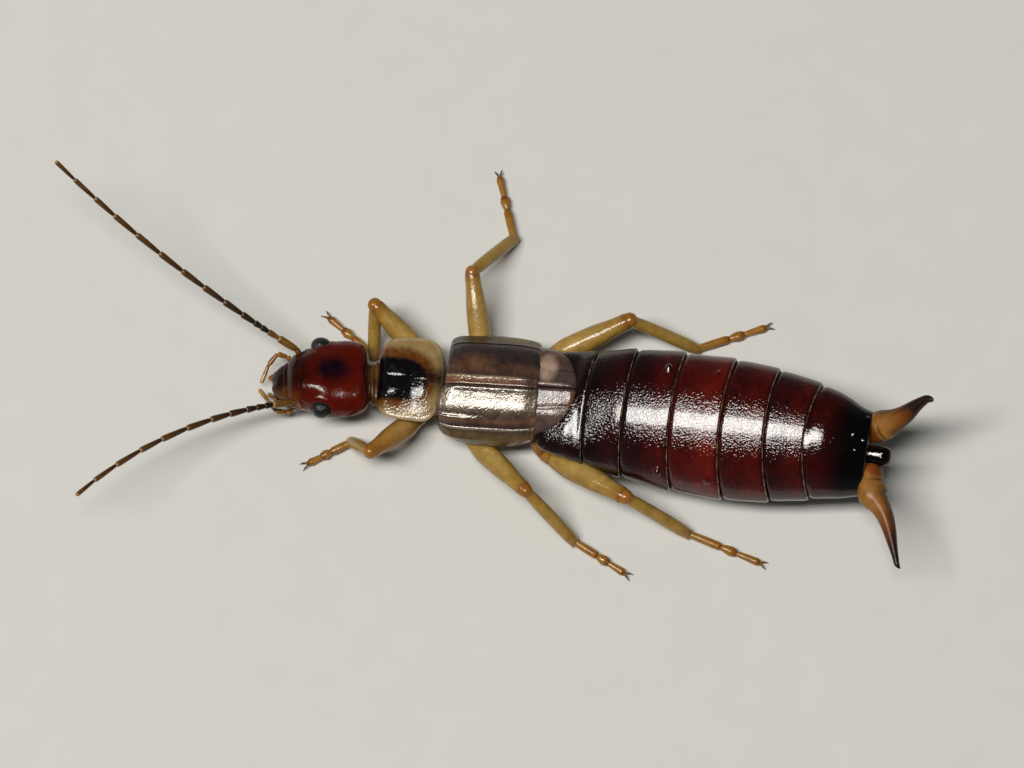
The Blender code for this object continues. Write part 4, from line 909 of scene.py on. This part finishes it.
# How a ring's margins curve: place along, bow and skew.
RING_CURVES = (
    (-0.46, 0.00, 0.00),
    (0.72, 0.10, 0.05),
    (1.80, 0.10, 0.04),
    (3.09, 0.15, 0.07),
    (4.44, 0.18, 0.09),
    (5.63, 0.22, 0.12),
    (6.70, 0.26, 0.05),
    (7.60, 0.16, 0.02),
    (8.38, 0.00, 0.00),
)
# How red each ring is at its front and at its rear.
RING_REDNESS = ((0.0, 0.0), (0.0, 0.10), (0.05, 0.40), (0.45, 0.90), (0.30, 0.60), (0.15, 0.45), (0.40, 0.0))


def rings():
    """Each ring swells to 1.012 of the girth at its rear margin, which is rolled in; its front runs under its neighbour.

    A point at across / half width x is shifted tailwards by bow x^2 - skew x, with the values of a
    table. The abdomen is rolled about its axis. A groove runs along each flank, the fourth ring's
    glands stand up, and the last ring falls away behind its front and bears four small knots.
    """
    for number, (name, front, rear) in enumerate(zip(RING_NAMES, RING_ENDS, RING_ENDS[1:])):
        last, first = name == RING_NAMES[-1], number == 0
        tuck = 0.0 if first else 0.22
        main = np.linspace(front, rear - 0.06, 110)
        before = np.linspace(front - tuck, front, 10)[:-1] if not first else np.array(())
        if last:
            along = np.concatenate((before, main, rear - 0.06 + 0.06 * np.sin(np.linspace(0.1, 0.5 * math.pi, 9))))
            inward = np.concatenate((np.zeros(len(before) + len(main)), 1.0 - np.cos(np.linspace(0.1, 0.5 * math.pi, 9))))
            lip_along, lip_size = np.array((rear + 0.004, rear + 0.004)), np.array((0.80, 0.45))
        else:
            roll = np.linspace(0.15, math.pi, 12)
            along = np.concatenate((before, main, rear - 0.06 + 0.052 * np.sin(roll / 2.0)))
            inward = np.concatenate((np.zeros(len(before) + len(main)), 0.014 * (1.0 - np.cos(roll))))
            lip_along, lip_size = np.array((rear - 0.10, rear - 0.30)), np.array((0.945, 0.90))
        share = np.clip((along - front) / (rear - front), 0.0, 1.0)
        size = smooth(((0.0, 0.950), (0.10, 0.986), (0.55, 1.0), (0.92, 1.012), (1.0, 1.010)), share)[:, 0]
        size = size - 0.30 * np.maximum(0.0, front - along)
        size = size - (inward * (0.12 if last else 1.0))
        along, size = np.concatenate((along, lip_along)), np.concatenate((size, lip_size))
        girth = smooth(GIRTH, along) * size[:, None]
        half_width, rise, drop = np.moveaxis(girth, -1, 0)[..., None]
        turn = turns(300)
        wide, high = oval(turn, half_width, rise, drop, 2.15, 2.05)
        along = along[:, None] * np.ones_like(wide)
        side = wide / half_width
        curve, skew = np.moveaxis(smooth(RING_CURVES, along), -1, 0)
        bow = curve * side ** 2 - skew * side
        flank = 0.030 * hill(np.sin(turn), -0.34, 0.06) + 0.010 * hill(np.sin(turn), -0.05, 0.05)
        plate = 0.012 * hill(np.sin(turn), -0.50, 0.10)
        lift = plate - flank
        gland = np.zeros_like(wide)
        if name in ("t4", "t5"):
            strength = 1.0 if name == "t4" else 0.45
            for flank_turn, place in ((46.0, rear - 0.27), (137.0, rear - 0.13)):
                angle = np.degrees(np.arctan2(high / 0.9, wide / 1.8))
                gland = gland + strength * hill(angle, flank_turn, 3.6) * hill(along + bow, place, 0.075)
        lift = lift + 0.110 * gland
        from_rear = rear - along
        wave = 0.006 * np.sin(23.0 * turn) + 0.004 * np.sin(61.0 * turn + 1.0)
        margin = hill(from_rear + wave, 0.008, 0.009)
        if last:
            spine = 0.03 * hill(side, 0.0, 0.16) * ramp(7.9, 8.38, along)
            bosses = 0.02 * hill(np.abs(side), 0.50, 0.20) * hill(along, 8.18, 0.20) * (high > 0.0)
            for place, aside, height in ((8.24, 0.78, 0.060), (7.98, 0.36, 0.030), (8.27, 0.27, 0.030), (8.10, 0.02, 0.030)):
                bosses = bosses + height * hill(along, place, 0.055) * hill(side, aside, 0.045) * (high > 0.0)
            lift = lift + bosses - spine
        grown = 1.0 + lift / np.maximum(np.hypot(wide, high), 0.3)
        wide, high = wide * grown, high * grown
        unrolled = 0.17 * (1.0 - ramp(0.4, 1.6, along)) * ramp(0.25, 0.60, along)
        high = high + unrolled * wide * hill(wide, -0.1, 1.1) * (high > 0.0)
        wide, high = rolled(wide, high, ROLL * ramp(0.4, 1.6, along))
        wide = wide + 0.05 * hill(along, 6.3, 1.4) - 0.07 * ramp(7.1, 8.1, along)
        points = put(ABDOMEN, along + bow, wide, high)
        start, end = RING_REDNESS[number]
        red = start + (end - start) * ramp(0.25, 0.85, (along - front) / (rear - front))
        red = np.clip(red * (0.65 + 0.35 * ramp(0.0, 0.5, np.sin(turn))), 0.0, 1.0)
        dark = 0.60 * hill(from_rear, 0.075, 0.040) + 0.45 * (1.0 - ramp(0.0, 0.16, along - front))
        dark = np.clip(dark + gland, 0.0, 1.0)
        if last:
            dark = np.clip(0.55 * (1.0 - ramp(0.0, 0.12, along - front)) + ramp(7.1, 7.9, along), 0.0, 1.0)
            margin = 0.0 * margin
        amber = 0.75 * hill(np.sin(turn), -0.10, 0.16) * (0.8 if number == 1 else 0.25)
        amber = np.clip(amber * ramp(0.1, 0.5, (along - front) / (rear - front)), 0.0, 1.0) * np.ones_like(wide)
        gold = np.clip(margin * (0.75 + 0.25 * np.sin(9.0 * turn + number)), 0.0, 1.0)
        surface(f"ring_{name}", [points], END_MAROON if last else RING_MAROON, (f"abdomen_{name}",),
                {"red": [red], "dark": [dark], "amber": [amber], "gold": [gold]})


KNOB = (
    (-0.10, 0.20, 0.17, 0.20),
    (0.05, 0.245, 0.20, 0.22),
    (0.38, 0.260, 0.20, 0.22),
    (0.51, 0.245, 0.175, 0.21),
    (0.585, 0.195, 0.120, 0.16),
    (0.622, 0.120, 0.060, 0.09),
    (0.632, 0.020, 0.010, 0.02),
)


def knob():
    """The knob between the pincers: rounded sections with a furrow down the middle and a waist at its root."""
    along = eased(60, KNOB[0][0], KNOB[-1][0])[:, None]
    half_width, rise, drop = np.moveaxis(smooth(KNOB, along[:, 0]), -1, 0)[..., None]
    wide, high = oval(turns(96), half_width, rise, drop, 2.3, 2.2)
    furrow = 0.02 * hill(wide, 0.0, 0.04) * (high > 0.0) * ramp(0.3, 0.5, along)
    points = put(ABDOMEN, along + RING_ENDS[-1], *rolled(wide - 0.06, high + 0.14 - furrow, ROLL))
    marks = {"dark": [0.75 + 0.0 * wide]}
    surface("end_knob", [points], END_MAROON, ("pygidium",), marks)


# The pincers.

# Each arm: share of its length, half width and half height; then share and bearing; climb, length,
# and its root as distances along, across and up from the abdomen's end.
HORN_RIGHT = (
    (0.00, 0.40, 0.34),
    (0.18, 0.40, 0.34),
    (0.24, 0.385, 0.33),
    (0.32, 0.335, 0.30),
    (0.48, 0.257, 0.250),
    (0.59, 0.218, 0.215),
    (0.70, 0.176, 0.178),
    (0.81, 0.137, 0.145),
    (0.91, 0.100, 0.110),
    (0.965, 0.062, 0.070),
    (1.00, 0.012, 0.014),
)
HORN_LEFT = (
    (0.00, 0.20, 0.24),
    (0.03, 0.28, 0.28),
    (0.11, 0.300, 0.30),
    (0.21, 0.365, 0.33),
    (0.27, 0.375, 0.33),
    (0.37, 0.270, 0.29),
    (0.47, 0.220, 0.245),
    (0.56, 0.190, 0.210),
    (0.71, 0.142, 0.160),
    (0.855, 0.095, 0.115),
    (0.955, 0.068, 0.078),
    (1.00, 0.012, 0.014),
)
ARMS = (
    (1.0, "R", HORN_RIGHT, ((0.0, 3.0), (0.35, 14.0), (0.63, 32.0), (0.86, 20.0), (1.0, -66.0)), 41.0, 2.31,
     (-0.10, 0.605, -0.12), 0.215),
    (-1.0, "L", HORN_LEFT, ((0.0, -95.0), (0.17, -90.0), (0.25, -80.0), (0.33, -54.0), (0.42, -62.0), (0.54, -73.0),
                            (0.66, -78.0), (0.80, -78.0), (0.93, -81.0), (1.0, -38.0)), 3.0, 2.99,
     (0.13, -0.36, 0.07), 0.150),
)


def pincers():
    """Two horns: ovals carried along a path whose bearing changes evenly between the rows of a table.

    The base is a block with a cross groove, the inner edge is drawn out into a low keel with small
    teeth near the base, and a ridge runs along the top.
    """
    for side, letter, shape, table, climb, length, start, notch in ARMS:
        share = np.concatenate((np.linspace(0.0, 0.94, 150), 1.0 - 0.06 * np.linspace(0.97, 0.0, 24) ** 1.6))
        table = np.array(table)
        middle = (share[1:] + share[:-1]) / 2.0
        steps = np.diff(share)[:, None] * length * bearing(np.interp(middle, table[:, 0], table[:, 1]), climb)
        root = put(ABDOMEN, RING_ENDS[-1] + start[0], *rolled(start[1], start[2], ROLL))
        path = root + np.vstack((np.zeros(3), np.cumsum(steps, axis=0)))
        half_width, half_height = smooth(shape, share).T
        points, turn = sweep(path, half_width, half_height, 72, power=2.15)
        way = np.gradient(path, axis=0)
        way /= np.linalg.norm(way, axis=1, keepdims=True)
        across = np.cross((0.0, 0.0, 1.0), way)
        across /= np.linalg.norm(across, axis=1, keepdims=True)
        share = share[:, None] * np.ones_like(turn)
        inner = np.maximum(0.0, -side * np.cos(turn))
        teeth = 0.5 + 0.5 * np.cos(2.0 * math.pi * share / 0.036)
        keel = inner ** 6 * (0.035 * (1.0 - ramp(0.5, 0.9, share)) + 0.030 * teeth * hill(share, 0.30, 0.12))
        across_inside = 0.10 + 0.90 * ramp(-0.3, 0.6, -side * np.cos(turn))
        groove = 0.030 * hill(share, notch, 0.012) * across_inside
        crest = 0.012 * np.maximum(0.0, np.sin(turn)) ** 8 * (1.0 - ramp(0.6, 0.9, share))
        centre = path[:, None, :]
        size = np.linalg.norm(points - centre, axis=-1, keepdims=True)
        points = centre + (points - centre) * (1.0 + (crest - groove * (share < 0.5))[..., None] / size)
        points = points - (side * keel)[..., None] * across[:, None, :]
        outer = np.maximum(0.0, side * np.cos(turn))
        edge = inner if side < 0.0 else outer
        dark = ramp(0.50, 0.88, share) + 0.95 * edge ** 1.5 * ramp(0.10, 0.34, share)
        dark = dark + 0.6 * (1.0 - outer - inner if side > 0.0 else 0.0) * ramp(0.45, 0.75, share)
        dark = dark + (0.7 * inner ** 3 * ramp(0.22, 0.40, share) if side > 0.0 else 0.0)
        dark = dark + 0.8 * hill(share, notch, 0.010) * across_inside + 0.40 * (1.0 - ramp(0.7 * notch, notch, share)) * inner
        amber = 0.85 * (1.0 - ramp(0.30, 0.60, share)) * (1.0 - 0.5 * edge) * ramp(0.6 * notch, notch, share + 0.12 * outer)
        surface(f"pincer_{letter}", [points], HORN_AMBER, (f"forceps_{letter}",),
                {"dark": [np.clip(dark, 0.0, 1.0)], "amber": [amber]})


# The legs.

FEMUR_LENGTH = {"front": 2.03, "middle": 2.46, "hind": 2.70}
TIBIA_LENGTH = {"front": 1.58, "middle": 2.06, "hind": 2.20}
FEMUR_RADIUS = {"front": 0.31, "middle": 0.30, "hind": 0.33}
SOLID_ANKLE_HEIGHT = 0.26
ANKLE_HEIGHT = 0.20
TOE_HEIGHT = 0.115
COXA_SHAPE = ((0.0, 0.80), (0.35, 1.0), (0.80, 0.92), (1.0, 0.74))
FEMUR_SHAPE = ((0.0, 0.62), (0.07, 0.68), (0.11, 0.74), (0.32, 1.0), (0.60, 0.93), (0.86, 0.72), (0.95, 0.70), (1.0, 0.62))
TIBIA_SHAPE = ((0.0, 0.78), (0.08, 0.86), (0.22, 0.96), (0.60, 1.0), (0.90, 0.96), (1.0, 0.82))
TARSUS_SHAPES = (
    ((0.0, 0.80), (0.10, 0.88), (0.80, 1.0), (0.95, 0.96), (1.0, 0.74)),
    ((0.0, 0.62), (0.40, 1.0), (0.80, 1.22), (1.0, 1.02)),
    ((0.0, 0.50), (0.25, 0.70), (0.70, 0.86), (0.92, 0.95), (1.0, 0.76)),
)
LEG_POSES = (
    ("front", "R", (-2.02, 0.02, 0.66), (-1.88, 0.56, 0.58), 136.8, 268.0, 138.5, 1.40, 1.60),
    ("front", "L", (-2.04, -0.66, 0.66), (-2.03, -1.11, 0.58), 222.5, 131.5, 206.6, 1.60, 1.24),
    ("middle", "R", (-0.30, -0.18, 0.66), (-0.32, 0.45, 0.58), 97.5, 48.5, 102.4, 1.41, 1.78),
    ("middle", "L", (-0.36, -0.98, 0.66), (-0.72, -1.64, 0.58), -47.8, -39.8, -32.6, 1.47, 1.58),
    ("hind", "R", (0.92, -0.35, 0.66), (1.24, 0.44, 0.58), 22.1, -14.8, 18.2, 1.40, 1.96),
    ("hind", "L", (0.92, -1.25, 0.66), (1.37, -2.12, 0.58), -33.6, -21.9, -22.4, 1.52, 2.06),
)


def limb(start, end, shape, radius, flat=1.0, bow=0.0, count=48, rows=80, power=2.1):
    """Round-ended limb: radius x shape between its joints, closing as a quarter circle beyond each.

    It is bowed upwards as bow x sin(pi share). Returns its grid and the share and turn of each point.
    """
    start, end = np.asarray(start, float), np.asarray(end, float)
    length = np.linalg.norm(end - start)
    first, last = radius * shape[0][1], radius * shape[-1][1]
    quarter = np.sin(np.linspace(0.0, 0.49 * math.pi, 10))[1:]
    share = np.concatenate((-quarter[::-1] * first / length, np.linspace(0.0, 1.0, rows), 1.0 + quarter * last / length))
    beyond = np.maximum(-share * length / first, (share - 1.0) * length / last)
    size = radius * smooth(shape, np.clip(share, 0.0, 1.0))[:, 0] * np.sqrt(1.0 - np.clip(beyond, 0.0, 1.0) ** 2)
    lifted = bow * np.sin(math.pi * np.clip(share, 0.0, 1.0))
    path = start + (end - start) * share[:, None] + lifted[:, None] * np.array((0.0, 0.0, 1.0))
    points, turn = sweep(path, size, size * flat, count, power=power)
    return points, share[:, None] * np.ones_like(turn), turn


def leg_joints(pair, side, root, hip, femur_bearing, tibia_bearing, tarsus_bearing, knee_height, reach):
    """Root, hip, knee, ankle and toe from a leg's lengths, bearings and heights; the foot lies low on the floor."""
    hip = np.array(hip)
    climb = math.degrees(math.asin((knee_height - hip[2]) / FEMUR_LENGTH[pair]))
    knee = hip + FEMUR_LENGTH[pair] * bearing(femur_bearing, climb)
    fall = math.degrees(math.asin((SOLID_ANKLE_HEIGHT - knee_height) / TIBIA_LENGTH[pair]))
    ankle = knee + TIBIA_LENGTH[pair] * bearing(tibia_bearing, fall)
    ankle[2] = ANKLE_HEIGHT
    toe = ankle + reach * bearing(tarsus_bearing)
    toe[2] = TOE_HEIGHT
    return np.array(root), hip, knee, ankle, toe


def leg(pose):
    """Coxa, femur with its trochanter ring, tibia with spurs, three tarsal joints and two hooked claws."""
    pair, side = pose[0], pose[1]
    tag = f"{pair}_{side}"
    root, hip, knee, ankle, toe = leg_joints(*pose)

    coxa, share, turn = limb(root, hip, COXA_SHAPE, 0.27)
    surface(f"hip_{tag}", [coxa], PALP_AMBER, (f"coxa_{tag}",),
            {"dark": [0.5 * ramp(0.7, 1.0, share)], "pale": [0.5 * hill(share, 0.4, 0.3)]})

    radius = FEMUR_RADIUS[pair]
    femur, share, turn = limb(hip, knee, FEMUR_SHAPE, radius, 1.0, 0.03)
    groove = 0.018 * hill(share, 0.085, 0.012) * radius / 0.3
    centre = femur.mean(axis=1, keepdims=True)
    femur = centre + (femur - centre) * (1.0 - groove / np.maximum(np.linalg.norm(femur - centre, axis=-1), 0.05))[..., None]
    # Painted highlight: a pale streak along the top of the thigh.
    painted_streak = 0.55 * np.maximum(0.0, np.sin(turn)) ** 3 * hill(share, 0.45, 0.3)
    ends = np.clip(0.85 * ramp(0.84, 1.0, share) + 0.6 * (1.0 - ramp(0.04, 0.12, share)), 0.0, 1.0)
    line = 0.6 * hill(share, 0.085, 0.010) + 0.35 * hill(share, 0.965, 0.02)
    if tag == "front_L":
        ends = np.maximum(ends, 0.70)
    surface(f"thigh_{tag}", [femur], LEG_STRAW, (f"femur_{tag}",), {
        "orange": [ends], "pale": [painted_streak], "dark": [line]})

    tibia, share, turn = limb(knee, ankle, TIBIA_SHAPE, 0.175, 1.0, 0.02, 44, 70)
    way = (ankle - knee) / np.linalg.norm(ankle - knee)
    across = np.cross((0.0, 0.0, 1.0), way)
    across /= np.linalg.norm(across)
    spurs = []
    for aside in (1.0, -1.0):
        foot = ankle - 0.02 * way + aside * 0.10 * across
        tip = foot + 0.16 * way + aside * 0.05 * across - np.array((0.0, 0.0, 0.03))
        along = np.linspace(0.0, 1.0, 12)
        spurs.append(sweep(straight(foot, tip, along), 0.028 * (1.0 - along) + 0.003, 0.028 * (1.0 - along) + 0.003, 10)[0])
    # Painted highlight: a fainter pale streak along the top of the shin.
    painted_streak = 0.2 * np.maximum(0.0, np.sin(turn)) ** 3 * hill(share, 0.5, 0.3)
    joints = np.clip(0.9 * (1.0 - ramp(0.0, 0.14, share)) + 0.45 * ramp(0.80, 1.0, share), 0.0, 1.0)
    surface(f"shin_{tag}", [tibia] + spurs, LEG_STRAW, (f"tibia_{tag}",), {
        "orange": [joints, 0.8, 0.8], "pale": [painted_streak, 0.0, 0.0], "dark": [0.25 * ramp(0.97, 1.02, share), 0.3, 0.3]})

    ends = (0.0, 0.47, 0.66, 1.0)
    grids, orange, dark = [], [], []
    for number, shape in enumerate(TARSUS_SHAPES):
        start, end = ankle + (toe - ankle) * ends[number], ankle + (toe - ankle) * ends[number + 1]
        joint, share, turn = limb(start, end, shape, 0.112, 0.92, 0.0, 32, 30)
        if number == 1:
            joint[..., 2] -= 0.015 * hill(share, 0.8, 0.3)
        grids.append(joint)
        orange.append(np.clip(0.55 + 0.4 * ramp(0.6, 1.0, share), 0.0, 1.0))
        dark.append(0.45 * ramp(0.90, 1.0, share))
    for turned in (-30.0, 30.0):
        along = np.linspace(0.0, 1.0, 26)[:, None]
        out, ahead = bearing(pose[6] + turned), bearing(pose[6])
        path = toe + 0.02 * ahead + 0.27 * (along * out + 0.25 * along ** 2 * (ahead - out))
        path[:, 2] = TOE_HEIGHT + 0.045 * np.sin(math.pi * along[:, 0] * 0.9) - 0.095 * along[:, 0] ** 2
        size = 0.040 * (1.0 - along[:, 0]) ** 0.7 + 0.004
        grids.append(sweep(path, size * 0.8, size, 16)[0])
        orange.append(0.3 * (1.0 - along))
        dark.append(np.clip(0.25 + along, 0.0, 1.0))
    low = min(float(grid[..., 2].min()) for grid in grids)
    if low < 0.002:
        grids = [np.where(np.arange(3) == 2, np.maximum(grid, 0.002), grid) for grid in grids]
    surface(f"foot_{tag}", grids, LEG_STRAW, (f"tarsus_{tag}",), {
        "orange": orange, "pale": [0.0] * 5, "dark": dark})


# The camera, the light and the floor.

def look():
    """The camera stands 160 mm from a point on the back, 75 degrees above the floor."""
    target, distance, rise = np.array((0.456, -0.40, 1.50)), 160.0, math.radians(75.0)
    lens = bpy.data.cameras.new("camera")
    lens.lens = 210.0
    lens.sensor_width = 36.0
    lens.clip_start = 0.005
    lens.clip_end = 5.0
    camera = bpy.data.objects.new("camera", lens)
    camera.location = (target + distance * np.array((0.0, -math.cos(rise), math.sin(rise)))) * MM
    camera.rotation_euler = (math.radians(90.0) - rise, 0.0, 0.0)
    bpy.context.scene.collection.objects.link(camera)
    bpy.context.scene.camera = camera


def lamp(name, way, distance, size, watts, colour):
    """An oblong soft light at a distance in millimetres along a direction, facing the model."""
    light = bpy.data.lights.new(name, "AREA")
    light.shape = "RECTANGLE"
    light.size, light.size_y = size[0] * MM, size[1] * MM
    light.energy = watts
    light.color = colour
    holder = bpy.data.objects.new(name, light)
    way = np.array(way) / np.linalg.norm(way)
    holder.location = way * distance * MM
    z = way
    x = np.cross((0.0, 1.0, 0.0), z)
    x /= np.linalg.norm(x)
    y = np.cross(z, x)
    holder.rotation_euler = Matrix(np.stack((x, y, z), axis=1).tolist()).to_euler()
    bpy.context.scene.collection.objects.link(holder)


def floor():
    """A wide pale sheet, very slightly clouded."""
    half = 400.0
    mesh = bpy.data.meshes.new("floor")
    mesh.from_pydata([(x * half * MM, y * half * MM, 0.0) for x, y in ((-1, -1), (1, -1), (1, 1), (-1, 1))], [],
                     [(0, 1, 2, 3)])
    pale = bpy.data.materials.new("floor_pale")
    pale.use_nodes = True
    tree = pale.node_tree
    shader = tree.nodes["Principled BSDF"]
    shader.inputs["Roughness"].default_value = 0.85
    coords = add_node(tree, "ShaderNodeTexCoord").outputs["Object"]
    cloud = noise(tree, coords, 900.0, 3.0)
    tree.links.new(mixed(tree, cloud, (0.66, 0.66, 0.63), (0.70, 0.70, 0.67)), shader.inputs["Base Color"])
    mesh.materials.append(pale)
    sheet = bpy.data.objects.new("floor", mesh)
    bpy.context.scene.collection.objects.link(sheet)


def air():
    """A pale sky, dim overhead and brighter towards the horizon."""
    world = bpy.data.worlds.new("pale_sky")
    world.use_nodes = True
    tree = world.node_tree
    sky = tree.nodes["Background"]
    sky.inputs["Color"].default_value = (0.84, 0.88, 0.92, 1.0)
    way = add_node(tree, "ShaderNodeSeparateXYZ")
    tree.links.new(add_node(tree, "ShaderNodeTexCoord").outputs["Generated"], way.inputs[0])
    fade = add_node(tree, "ShaderNodeMapRange", {"From Min": 0.10, "From Max": 0.75, "To Min": 0.16, "To Max": 0.03})
    tree.links.new(way.outputs["Z"], fade.inputs["Value"])
    tree.links.new(fade.outputs["Result"], sky.inputs["Strength"])
    bpy.context.scene.world = world


look()
lamp("key", (-0.288, -0.114, 0.951), 320.0, (210.0, 52.0), 0.98, (1.0, 0.97, 0.92))
air()
floor()

head_capsule()
eyes()
upper_lip()
jaws()
palps()
feelers()
neck()
shield()
trunk()
wing_cases()
wing_tips()
rings()
knob()
pincers()
for pose in LEG_POSES:
    leg(pose)

bpy.context.scene.view_settings.view_transform = "Standard"
